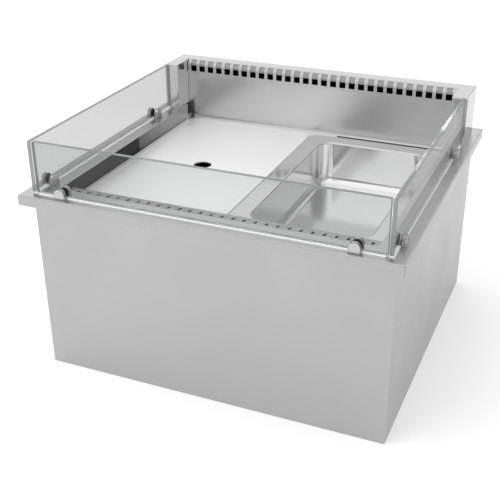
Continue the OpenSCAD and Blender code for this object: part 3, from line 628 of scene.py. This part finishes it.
def blank_material(name: str) -> Tuple[Material, Shader, Node]:
    """Starts a material with one Principled shader.

    Args:
        name: name of the material.

    Returns:
        The material, the helper for its tree and the shader node.
    """
    material = bpy.data.materials.new(name)
    material.use_nodes = True
    material.node_tree.nodes.clear()
    shader = Shader(material.node_tree)
    surface = shader.node("BsdfPrincipled")
    shader.node("OutputMaterial", Surface=surface.outputs["BSDF"])
    return material, shader, surface


@dataclass(frozen=True)
class Finish:
    """One kind of material, which knows how to paint itself."""

    name: str

    def build(self, shop: Workshop) -> Material:
        """Builds the material.

        Args:
            shop: the shared node groups.

        Returns:
            The material.
        """
        material, shader, surface = blank_material(self.name)
        self.paint(shop, shader, surface, shader.node("TexCoord").outputs["Object"])
        return material

    def paint(self, shop: Workshop, shader: Shader, surface: Node, position: NodeSocket) -> None:
        """Feeds the surface what sets this kind apart.

        Args:
            shop: the shared node groups.
            shader: the material's node tree.
            surface: its Principled shader.
            position: the place on the piece.
        """
        raise NotImplementedError


@dataclass(frozen=True)
class Steel(Finish):
    """Bare steel sheet: its tone, how it was brushed, how far it was polished, and boxes of painted
    shade that darken its colour.
    """

    tone: Colour
    grain: Grain = Grain.ALONG_X
    rough: Pair = (0.30, 0.38)
    contrast: float = 0.04
    bump: float = 0.05
    metallic: float = 1.0
    clouds: float = 5.0
    painted_shade: Tuple[PaintedShadeBox, ...] = ()

    def paint(self, shop: Workshop, shader: Shader, surface: Node, position: NodeSocket) -> None:
        """Feeds it brushed grain, wipe marks and the boxes of painted shade."""
        grain = shader.group(shop.grain, Position=position, Stretch=self.grain.value,
                             Low=1.0 - self.contrast, High=1.0 + self.contrast)
        colour = shader.scaled(self.tone, grain.outputs["Tone"])
        # painted shade: each box lowers the colour to its level
        for painted_shade_box in self.painted_shade:
            shade = shader.group(shop.painted_shade_box, Position=position, Centre=painted_shade_box.centre,
                                 Half=painted_shade_box.half, Inside=painted_shade_box.level)
            colour = shader.scaled(colour, shade.outputs["Value"])
        streak = shader.maths("Math", "MULTIPLY", grain.outputs["Tone"],
                              shop.wander(shader, position, self.clouds, self.rough))
        shader.feed(surface, Base_Color=colour, Roughness=streak.outputs[0],
                    Metallic=self.metallic)
        if self.bump > 0.0:
            shader.emboss(surface, grain.outputs["Height"], self.bump)


@dataclass(frozen=True)
class Glass(Finish):
    """Clear glass: how much light it lets through, how far it bends it and how it mirrors."""

    tone: Colour = (0.79, 0.795, 0.795)
    rough: Pair = (0.0, 0.012)
    index: float = 1.01
    coat: float = 0.45
    clear: float = 1.0
    shade: float = 0.96
    wipes: float = 9.0
    clouds: float = 3.0
    haze: Pair = (0.985, 1.0)

    def paint(self, shop: Workshop, shader: Shader, surface: Node, position: NodeSocket) -> None:
        """Makes it glass to the eye, and almost clear to shadow and diffuse rays."""
        haze = shop.wander(shader, position, self.clouds, self.haze)
        wipes = shop.wander(shader, position, self.wipes, self.rough)
        shader.feed(surface, Base_Color=shader.scaled(self.tone, haze), Roughness=wipes,
                    Transmission_Weight=self.clear, IOR=self.index, Coat_Weight=self.coat,
                    Coat_Roughness=0.0)
        clear = shader.node("BsdfTransparent", Color=(*grey(self.shade), 1.0))
        path = shader.node("LightPath")
        soft = shader.maths("Math", "MAXIMUM", path.outputs["Is Shadow Ray"],
                            path.outputs["Is Diffuse Ray"])
        mix = shader.node("MixShader", Fac=soft.outputs[0])
        shader.link(surface.outputs["BSDF"], mix.inputs[1])
        shader.link(clear.outputs["BSDF"], mix.inputs[2])
        output = next(n for n in shader.tree.nodes if n.type == "OUTPUT_MATERIAL")
        shader.feed(output, Surface=mix.outputs["Shader"])


@dataclass(frozen=True)
class MirrorWithPaintedReflection(Finish):
    """Polished liner with a painted reflection in its colour: nearly black up to a place along Y, and
    growing lighter from there to its end.
    """

    place: float = 17.0 * MM
    end: float = 264.0 * MM
    tones: Vec3 = (0.02, 0.14, 0.55)
    rough: Pair = (0.10, 0.16)
    clouds: float = 8.0

    def paint(self, shop: Workshop, shader: Shader, surface: Node, position: NodeSocket) -> None:
        """Feeds it the painted reflection, a step in tone, and wipe marks."""
        before, after, last = self.tones
        # painted reflection: nearly black before the place, then lighter towards the end
        tone = shader.group(shop.step, Position=position, Place=self.place, End=self.end,
                            Before=before, After=after, Last=last)
        shader.feed(surface, Base_Color=shader.grey(tone.outputs["Value"]), Metallic=1.0,
                    Roughness=shop.wander(shader, position, self.clouds, self.rough))


@dataclass(frozen=True)
class Moulded(Finish):
    """Moulded plastic, rubber or foam: two tones that mix in a fine grain of some depth."""

    tone: Colour
    other: Colour
    scale: float = 400.0
    rough: Pair = (0.5, 0.65)
    bump: float = 0.25
    painted_glow: float = 0.0
    clouds: float = 14.0

    def paint(self, shop: Workshop, shader: Shader, surface: Node, position: NodeSocket) -> None:
        """Feeds it two tones, a fine grain and, for some, painted light: emission in its own colour,
        though it is no lamp.
        """
        fine = shader.group(shop.grain, Position=position, Stretch=(self.scale,) * 3,
                            Low=0.0, High=1.0)
        colour = shader.mix("RGBA", fine.outputs["Tone"], (*self.tone, 1.0),
                            (*self.other, 1.0))
        shader.feed(surface, Base_Color=colour,
                    Roughness=shop.wander(shader, position, self.clouds, self.rough))
        shader.emboss(surface, fine.outputs["Height"], self.bump)
        # painted light: emission in the piece's own colour
        if self.painted_glow > 0.0:
            shader.feed(surface, Emission_Color=colour, Emission_Strength=self.painted_glow)


# Sub-assemblies


@dataclass
class Containers:
    """The deep pan and the flat display plate that lie side by side in the well."""

    width: float = 325.0 * MM
    depth: float = 530.0 * MM
    middle_x: float = 163.0 * MM
    middle_y: float = 6.0 * MM
    top: float = 365.5 * MM
    sheet: float = 1.0 * MM
    hem: float = 6.0 * MM
    corner: float = 22.0 * MM
    hem_bend: float = 2.4 * MM
    rim: float = 40.0 * MM
    mouth_corner: float = 30.0 * MM
    mouth_bend: float = 4.0 * MM
    pan_depth: float = 100.0 * MM
    floor_bend: float = 15.0 * MM
    border: float = 16.0 * MM
    step: float = 0.5 * MM
    step_width: float = 3.0 * MM
    finger_radius: float = 19.5 * MM
    finger_at: Pair = (6.0 * MM, -9.0 * MM)
    finger_roll: float = 1.6 * MM
    finger_foot: float = -4.0 * MM

    def ring(self, inset: float, height: float, radius: float) -> np.ndarray:
        """Gives the round rectangle at an inset from the container's edge, as (n, 3) points."""
        outline = round_rectangle(self.width - 2 * inset, self.depth - 2 * inset, radius)
        return at_height(outline, height)

    def skin(self, profile: np.ndarray, mouth: bool) -> List[np.ndarray]:
        """Carries a profile of inset and height round the container.

        The corner radius is corner - inset at the hem and mouth_corner + rim - inset at the
        mouth, where rim is the inset of the bowl's wall.

        Args:
            profile: array of (n, 2) insets and heights.
            mouth: True for the mouth and bowl, False for the hem.

        Returns:
            One ring of points for each profile point.
        """
        start = self.mouth_corner + self.rim if mouth else self.corner
        return [self.ring(inset, height, start - inset) for inset, height in profile]

    def pan_rings(self) -> np.ndarray:
        """Gives the pan's closed shell, from the middle of its floor out to the hem and back.

        The bowl is a fillet, a straight wall and a quarter bend at the mouth; the rim is flat
        and ends in a quarter bend and the hem. The lower skin is the same one sheet away.

        Returns:
            Array of rings for shell_from_rings.
        """
        bend, mouth, floor = self.hem_bend, self.mouth_bend, self.floor_bend
        mouth_at = self.rim - mouth
        low = -self.pan_depth + floor
        bowl = np.vstack([
            arc((self.rim + floor, low), floor, 270.0, 180.0, 12),
            arc((mouth_at, -mouth), mouth, 0.0, 90.0, 6)])
        hem = np.vstack([arc((bend, -bend), bend, 90.0, 180.0, 5), [[0.0, -self.hem]]])
        under_hem = np.vstack([
            [[self.sheet, -self.hem]],
            arc((bend, -bend), bend - self.sheet, 180.0, 90.0, 5)])
        under_bowl = np.vstack([
            arc((mouth_at, -mouth), mouth - self.sheet, 90.0, 0.0, 6),
            arc((self.rim + floor, low), floor + self.sheet, 180.0, 270.0, 12)])
        rings = (self.skin(bowl, True) + self.skin(hem, False)
                 + self.skin(under_hem, False) + self.skin(under_bowl, True))
        return np.stack(rings) + np.array([self.middle_x, self.middle_y, self.top])

    def plate_rings(self) -> np.ndarray:
        """Gives the plate's closed shell, from the finger hole out to the hem and back.

        The field lies one soft step below the border: with t running from 0 to half a turn the
        slope falls by step * (1 + cos t) / 2.

        Returns:
            Array of rings for shell_from_rings, the last to be joined to the first.
        """
        bend, roll = self.hem_bend, self.finger_roll
        fall = -self.step
        turn = np.linspace(0.0, math.pi, 7)
        slope = np.column_stack([self.border - self.step_width * turn / math.pi,
                                 fall * (1.0 + np.cos(turn)) / 2])
        hem = np.vstack([slope, arc((bend, -bend), bend, 90.0, 180.0, 5),
                         [[0.0, -self.hem]]])
        under = np.vstack([[[self.sheet, -self.hem]],
                           arc((bend, -bend), bend - self.sheet, 180.0, 90.0, 5),
                           [[self.border, fall - self.sheet]]])
        collar = arc((self.finger_radius + roll, fall - roll), roll, 180.0, 90.0, 5)
        outer_wall = self.finger_radius + self.sheet
        hole = [at_height(hole_outline(self.finger_at, r), z) for r, z in collar]
        below = [at_height(hole_outline(self.finger_at, r), z) for r, z in (
            (outer_wall + roll, fall - self.sheet), (outer_wall, fall - self.sheet - roll),
            (outer_wall, self.finger_foot), (self.finger_radius, self.finger_foot))]
        rings = hole + self.skin(hem, False) + self.skin(under, False) + below
        return np.stack(rings) + np.array([-self.middle_x, self.middle_y, self.top])

    def build(self, finishes: Finishes) -> None:
        """Makes both containers and puts them in the place of their plain solids.

        Args:
            finishes: materials by name.
        """
        pan = shell_from_rings("pan_deep_drawn", self.pan_rings())
        dress(pan, "pan", finishes, "pan_steel", "food_pan")
        plate = shell_from_rings("plate_pressed", self.plate_rings(), endless=True)
        dress(plate, "plate", finishes, "plate_steel", "display_plate")


@dataclass
class RearWall:
    """Polished wall that the cold air rises behind, and the fold behind the outlet's slots."""

    half: float = 330.9 * MM
    face: float = 284.2 * MM
    sheet: float = 1.2 * MM
    top: float = 479.0 * MM
    cove: float = 20.0 * MM
    gutter: float = 353.4 * MM
    web: float = 244.2 * MM
    foot: float = 240.0 * MM
    bend: Pair = (295.0 * MM, 496.0 * MM)
    fold_radius: float = 10.6 * MM
    fold_sheet: float = 0.8 * MM
    fold_low: float = 494.0 * MM
    fold_stop: float = 104.0

    def section(self) -> np.ndarray:
        """Gives the bent sheet's outline in Y and Z.

        The front skin goes down the wall, through a quarter circle of the cove's radius and
        along the gutter to the web; the back skin follows it one sheet away.

        Returns:
            Array of (n, 2) points.
        """
        centre = (self.face - self.cove, self.gutter + self.cove)
        front = arc(centre, self.cove, 0.0, -90.0, 28)
        back = arc(centre, self.cove + self.sheet, -90.0, 0.0, 28)
        return np.vstack([
            [[self.face, self.top]], front, [[self.web, self.gutter]],
            [[self.web, self.foot]], [[self.web + self.sheet, self.foot]],
            [[self.web + self.sheet, self.gutter - self.sheet]], back,
            [[self.face + self.sheet, self.top]]])

    def fold_section(self) -> np.ndarray:
        """Gives the fold's outline in Y and Z.

        It goes up from its low edge and through an arc about the comb's bend, and comes back one
        sheet nearer to the arc's centre.

        Returns:
            Array of (n, 2) points.
        """
        front = self.bend[0] - self.fold_radius
        outer = arc(self.bend, self.fold_radius, 180.0, self.fold_stop)
        inner = arc(self.bend, self.fold_radius - self.fold_sheet, self.fold_stop, 180.0)
        return np.vstack([[[front, self.fold_low]], outer, inner,
                          [[front + self.fold_sheet, self.fold_low]]])

    def build(self, finishes: Finishes) -> None:
        """Makes the wall in the place of its plain solid, and the fold behind the slots.

        Args:
            finishes: materials by name.
        """
        wall = bar_along_x("rear_wall_bent", self.section(), self.half)
        dress(wall, "well", finishes, "polished_steel", "rear_air_panel")
        fold = bar_along_x("outlet_fold", self.fold_section(), self.half)
        dress(fold, "well", finishes, "comb_steel")
        # painted shade: the fold takes a darker copy of the comb's steel, for the shade inside the
        # outlet behind the slots
        fold.data.materials[0] = finishes["fold_steel_painted_shade"]


@dataclass
class GlassGuards:
    """Three glass panes with polished edges, and the six clamps that hold them."""

    thick: float = 8.0 * MM
    low: float = 403.0 * MM
    high: float = 508.0 * MM
    side_x: float = 361.0 * MM
    front_y: float = -341.0 * MM
    rear_y: float = 227.7 * MM
    front_half: float = 350.5 * MM
    arris: float = 0.8 * MM
    corner: float = 2.5 * MM
    clamp_width: float = 22.0 * MM
    clamp_height: float = 21.0 * MM
    clamp_round: float = 10.0 * MM
    clamp_foot: float = 400.0 * MM
    jaw: float = 9.0 * MM
    pad: float = 1.0 * MM
    web: float = 2.9 * MM
    web_inset: float = 0.5 * MM
    web_round: float = 0.3 * MM
    web_bite: float = 0.5 * MM
    edge: float = 1.2 * MM
    wide_share: float = 0.5
    front_clamps: Tuple[float, ...] = (-294.0 * MM, 294.0 * MM)
    side_clamps: Tuple[float, ...] = (-286.0 * MM, 150.0 * MM)

    def pane(self, name: str, plane: Plane, span: Pair, faces: Pair) -> Object:
        """Makes one pane, a bevelled slab with small round corners.

        Args:
            name: name of the piece.
            plane: plane that the pane lies in.
            span: its ends along its length.
            faces: its two faces along its thickness.

        Returns:
            The new object.
        """
        middle = np.array([(span[0] + span[1]) / 2, (self.low + self.high) / 2])
        size = np.array([span[1] - span[0], self.high - self.low])
        outlines = [round_rectangle(size[0] - 2 * e, size[1] - 2 * e, self.corner - e, 4) + middle
                    for e in edge_insets(self.arris, 2)]
        rings = bevelled_slab(outlines, plane, faces[0], faces[1], self.arris)
        return shell_from_rings(name, rings, sharp=28.0)

    def side_faces(self, sign: float) -> Pair:
        """Gives a side pane's two faces along X, on the side with this sign of X."""
        outer, inner = sign * self.side_x, sign * (self.side_x - self.thick)
        return (min(outer, inner), max(outer, inner))

    def polish_edges(self, pane: Object, edge: Material) -> None:
        """Gives a pane's narrow edge faces, all but its two widest ones, their own glass.

        Args:
            pane: the pane.
            edge: material of its edges.
        """
        pane.data.materials.append(edge)
        largest = max(face.area for face in pane.data.polygons)
        for face in pane.data.polygons:
            face.material_index = int(face.area < self.wide_share * largest)

    def jaw_outline(self, inset: float) -> np.ndarray:
        """Gives a clamp jaw's outline: a straight foot with a round head, shrunk by an inset.

        The head's two quarter circles have the clamp's rounding less the inset.

        Args:
            inset: how far it lies inside the full outline.

        Returns:
            Array of (n, 2) points.
        """
        half = self.clamp_width / 2 - inset
        radius = self.clamp_round - inset
        top = self.clamp_height - inset
        head = np.vstack([arc((half - radius, top - radius), radius, 0.0, 90.0, 12),
                          arc((radius - half, top - radius), radius, 90.0, 180.0, 12)])
        outline = np.vstack([head, [[-half, inset], [half, inset]]])
        return outline + np.array([0.0, self.clamp_foot])

    def clamp(self, plane: Plane, place: float, glass: Pair, name: str) -> Object:
        """Makes one clamp: two rounded jaws joined by a web under the glass.

        Args:
            plane: plane of the pane that it holds.
            place: where its middle is along the pane.
            glass: the pane's two faces along its thickness.
            name: name of the piece.

        Returns:
            The new object, two jaws and their web in one mesh.
        """
        insets = edge_insets(self.edge, 4)
        shift = np.array([place, 0.0])
        outlines = [self.jaw_outline(e) + shift for e in insets]
        web = [round_rectangle(self.clamp_width - 2 * self.web_inset, self.web, self.web_round, 2)
               + np.array([place, self.clamp_foot + self.web / 2])] * 2
        reach = self.pad + self.jaw
        bite = self.pad + self.web_bite
        parts = [
            bevelled_slab(outlines, plane, glass[0] - reach, glass[0] - self.pad, self.edge),
            bevelled_slab(outlines, plane, glass[1] + self.pad, glass[1] + reach, self.edge),
            bevelled_slab(web, plane, glass[0] - bite, glass[1] + bite, 0.0)]
        made = [shell_from_rings(f"{name}_{i}", p) for i, p in enumerate(parts)]
        return joined(name, made)

    def build(self, finishes: Finishes) -> None:
        """Makes the panes and clamps in the place of their plain solids.

        Args:
            finishes: materials by name.
        """
        front = (self.front_y, self.front_y + self.thick)
        sides = {"left": self.side_faces(-1.0), "right": self.side_faces(1.0)}
        panes = [("front", Plane.FACING_FRONT, (-self.front_half, self.front_half), front)]
        panes += [(side, Plane.FACING_SIDE, (self.front_y, self.rear_y), faces)
                  for side, faces in sides.items()]
        for side, plane, span, faces in panes:
            pane = self.pane(f"pane_{side}", plane, span, faces)
            dress(pane, "well", finishes, "clear_glass", f"glass_{side}")
            # painted shade: the side panes take a darker copy of the clear glass
            if plane is Plane.FACING_SIDE:
                pane.data.materials[0] = finishes["side_glass_painted_shade"]
            self.polish_edges(pane, finishes["glass_edge"])
        clamps = [self.clamp(Plane.FACING_FRONT, x, front, f"clamp_front_{i}")
                  for i, x in enumerate(self.front_clamps)]
        for side, faces in sides.items():
            clamps += [self.clamp(Plane.FACING_SIDE, y, faces, f"clamp_{side}_{i}")
                       for i, y in enumerate(self.side_clamps)]
        for clamp in clamps:
            dress(clamp, "well", finishes, "clamp_steel", "clamp_bodies")


# Finishes onto pieces and solids


def dress_solids(nodes: Dict[str, Object], finishes: Finishes) -> None:
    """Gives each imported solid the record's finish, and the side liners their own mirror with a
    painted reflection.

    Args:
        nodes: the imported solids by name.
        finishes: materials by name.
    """
    for part in frame["record"]["subparts"]:
        solid = nodes[part["node"]]
        # the side liners take the mirror with a painted reflection instead of their record's slot
        slot = "liner_painted_reflection" if solid.name.startswith("side_liner") else part["material_slot"]
        finish = finishes[slot]
        solid.data.materials.clear()
        solid.data.materials.append(finish)
        LOG.info("solid %s takes %s", solid.name, finish.name)


def dress(piece: Object, body: str, finishes: Finishes, slot: str, *nodes: str) -> None:
    """Puts a piece on its body, gives it its finish and hides the solids that it stands for.

    Args:
        piece: the new object.
        body: name of the body that it moves with.
        finishes: materials by name.
        slot: the finish it takes.
        nodes: solids that it replaces.
    """
    piece.data.materials.clear()
    piece.data.materials.append(finishes[slot])
    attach(piece, body)
    if nodes:
        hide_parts(*nodes)
    LOG.info("piece %s on %s takes %s", piece.name, body, slot)


# Studio


@dataclass(frozen=True)
class Shade:
    """A darker part of the surroundings: where it lies, how it fades in and how dark it is."""

    towards: Vec3
    spread: Pair
    level: float

    def build(self, shader: Shader, way: NodeSocket) -> NodeSocket:
        """Builds the shade: 1 away from it, falling smoothly to its level inside it.

        Args:
            shader: the node tree.
            way: the direction looked in.

        Returns:
            The brightness in that direction.
        """
        facing = shader.maths("VectorMath", "DOT_PRODUCT", way,
                              Vector(self.towards).normalized())
        mask = shader.node("MapRange", interpolation_type="SMOOTHSTEP",
                           Value=facing.outputs["Value"], From_Min=self.spread[0],
                           From_Max=self.spread[1], To_Min=1.0, To_Max=self.level)
        return mask.outputs["Result"]


@dataclass
class Studio:
    """Camera, floor, surroundings and soft light."""

    camera_at: Vec3 = (0.660408, -1.651412, 1.103956)
    azimuth: float = -23.1786
    elevation: float = 27.4020
    roll: float = -0.4285
    lens: float = 64.499
    sensor: float = 36.0
    sight: float = 60.0
    floor_half: float = 14.0
    floor_tone: Colour = grey(0.93)
    floor_rough: float = 0.9
    floor_glow: float = 0.25
    lamp_at: Vec3 = (-1.3, -1.2, 2.9)
    lamp_aim: Vec3 = (0.0, 0.0, 0.3)
    lamp_size: Pair = (2.6, 2.0)
    lamp_power: float = 26.0
    shades: Tuple[Shade, ...] = (Shade((0.42, 0.79, 0.44), (0.86, 0.95), 0.75),
                                 Shade((1.0, 0.0, 0.0), (0.15, 0.8), 0.66))

    def build_camera(self) -> None:
        """Makes the camera at the photograph's viewpoint.

        Forward is (sin az cos el, cos az cos el, -sin el); right is level and at right angles
        to it, and both right and up are turned about forward by the roll.
        """
        az, el, roll = (math.radians(v) for v in (self.azimuth, self.elevation, self.roll))
        ahead = Vector((math.sin(az) * math.cos(el), math.cos(az) * math.cos(el),
                        -math.sin(el)))
        level = Vector((math.cos(az), -math.sin(az), 0.0))
        above = level.cross(ahead)
        right = level * math.cos(roll) + above * math.sin(roll)
        up = right.cross(ahead)
        data = bpy.data.cameras.new("camera")
        data.lens = self.lens
        data.sensor_width = self.sensor
        data.clip_end = self.sight
        camera = into_scene("camera", data)
        turn = Matrix((right, up, -ahead)).transposed().to_4x4()
        camera.matrix_world = Matrix.Translation(self.camera_at) @ turn
        bpy.context.scene.camera = camera

    def build_floor(self) -> None:
        """Makes the plain pale floor."""
        h = self.floor_half
        mesh = bpy.data.meshes.new("floor")
        mesh.from_pydata([(-h, -h, 0.0), (h, -h, 0.0), (h, h, 0.0), (-h, h, 0.0)], [],
                         [(0, 1, 2, 3)])
        floor = into_scene("floor", mesh)
        material, shader, surface = blank_material("pale_floor")
        shader.feed(surface, Base_Color=(*self.floor_tone, 1.0), Roughness=self.floor_rough,
                    Emission_Color=(*grey(1.0), 1.0), Emission_Strength=self.floor_glow)
        mesh.materials.append(material)

    def build_sky(self) -> None:
        """Makes the surroundings: white to look at, and darker in reflections on the right."""
        world = bpy.data.worlds.new("studio")
        world.use_nodes = True
        world.node_tree.nodes.clear()
        shader = Shader(world.node_tree)
        way = shader.node("TexCoord").outputs["Generated"]
        bright = self.shades[0].build(shader, way)
        for shade in self.shades[1:]:
            both = shader.maths("Math", "MULTIPLY", bright, shade.build(shader, way))
            bright = both.outputs[0]
        seen = shader.maths("Math", "MAXIMUM", bright,
                            shader.node("LightPath").outputs["Is Camera Ray"])
        back = shader.node("Background", Strength=1.0, Color=shader.grey(seen.outputs[0]))
        shader.node("OutputWorld", Surface=back.outputs["Background"])
        bpy.context.scene.world = world

    def build_lights(self) -> None:
        """Hangs one large soft light above and to the left."""
        data = bpy.data.lights.new("soft_light", "AREA")
        data.shape = "RECTANGLE"
        data.size, data.size_y = self.lamp_size
        data.energy = self.lamp_power
        lamp = into_scene("soft_light", data)
        lamp.location = self.lamp_at
        aim = Vector(self.lamp_aim) - lamp.location
        lamp.rotation_euler = aim.to_track_quat("-Z", "Y").to_euler()
        lamp.visible_glossy = False

    def build(self) -> None:
        """Sets the whole studio up."""
        self.build_camera()
        self.build_floor()
        self.build_sky()
        self.build_lights()
        bpy.context.scene.view_settings.view_transform = "Standard"


def make_finishes() -> Finishes:
    """Builds every finish on the well.

    Returns:
        Materials by name: the record's slot names, and four finishes that only this file has
        (liner_painted_reflection, fold_steel_painted_shade, side_glass_painted_shade and glass_edge).
    """
    shop = Workshop.open()
    kinds = [
        Steel("casing_sheet", grey(0.44), rough=(0.34, 0.42), contrast=0.02, bump=0.03),
        # flange: painted shade on its front and right rims
        Steel("flange_steel", grey(0.58), rough=(0.26, 0.32), contrast=0.03, bump=0.03,
              painted_shade=(FLANGE_FRONT_RIM_SHADE, FLANGE_RIGHT_RIM_SHADE)),
        # hood: painted shade on its inside and its right end
        Steel("hood_steel", grey(0.62), rough=(0.08, 0.12), contrast=0.02, bump=0.02,
              metallic=0.85, painted_shade=(HOOD_INSIDE_SHADE, HOOD_RIGHT_END_SHADE)),
        Steel("comb_steel", grey(0.62), rough=(0.32, 0.38), contrast=0.03, bump=0.03),
        # painted shade: darker copy of comb_steel for the fold inside the outlet
        Steel("fold_steel_painted_shade", grey(0.36), Grain.ALONG_Z, (0.30, 0.36), contrast=0.18, bump=0.03),
        Steel("panel_steel", grey(0.62), rough=(0.26, 0.32), contrast=0.03, bump=0.03),
        # rear wall: painted shadow in the gap behind the pan
        Steel("polished_steel", grey(0.64), rough=(0.28, 0.30), contrast=0.01, bump=0.0,
              painted_shade=(GAP_BEHIND_PAN_SHADOW,)),
        # painted reflection: the side liners' colour is nearly black in front and lighter towards the
        # rear
        MirrorWithPaintedReflection("liner_painted_reflection"),
        Steel("plate_steel", grey(0.94), Grain.ALONG_Y, (0.30, 0.36), contrast=0.015,
              bump=0.01, metallic=0.35),
        # pan: painted shade on its rim and left wall
        Steel("pan_steel", grey(0.91), Grain.ALONG_Y, (0.11, 0.15), contrast=0.02, bump=0.01,
              metallic=0.95, painted_shade=(PAN_RIM_SHADE, PAN_LEFT_WALL_SHADE)),
        Steel("tank_steel", (0.45, 0.45, 0.46), Grain.ALONG_Z, (0.30, 0.42), contrast=0.05,
              bump=0.06),
        Steel("clamp_steel", grey(0.48), Grain.NONE, (0.16, 0.22), contrast=0.02, bump=0.01),
        Steel("fastener_steel", (0.50, 0.50, 0.51), Grain.NONE, (0.25, 0.35), contrast=0.05),
        Steel("fin_aluminium", (0.72, 0.73, 0.74), Grain.ALONG_Z, (0.35, 0.45), contrast=0.05,
              bump=0.08),
        Steel("copper", (0.72, 0.40, 0.25), rough=(0.28, 0.42), contrast=0.12),
        Glass("clear_glass"),
        # painted shade: darker copy of clear_glass for the side panes
        Glass("side_glass_painted_shade", grey(0.585)),
        Glass("glass_edge", (0.30, 0.31, 0.31), (0.28, 0.36), index=1.12, coat=0.0, clear=0.2),
        # painted light: the clear strips give off light of their own colour, though they are no lamp
        Moulded("clear_strip", grey(0.93), grey(0.97), 300.0, (0.3, 0.4), bump=0.05, painted_glow=0.2),
        Moulded("black_rubber", grey(0.012), grey(0.03)),
        Moulded("foam", (0.72, 0.60, 0.34), (0.60, 0.48, 0.26), 240.0, (0.8, 0.95), bump=0.5),
        Moulded("fan_plastic", (0.02, 0.02, 0.022), (0.035, 0.035, 0.04), scale=500.0),
        Moulded("black_plastic", grey(0.02), grey(0.04), scale=500.0),
        Moulded("grey_plastic", (0.42, 0.44, 0.45), (0.38, 0.40, 0.41), scale=500.0)]
    return {kind.name: kind.build(shop) for kind in kinds}


def main() -> None:
    """Builds the studio, the finishes and every sub-assembly in order."""
    logging.basicConfig(level=logging.INFO, format="%(name)s: %(message)s")
    Studio().build()
    finishes = make_finishes()
    dress_solids(frame["nodes"], finishes)
    Containers().build(finishes)
    RearWall().build(finishes)
    GlassGuards().build(finishes)


if __name__ == "__main__":
    main()
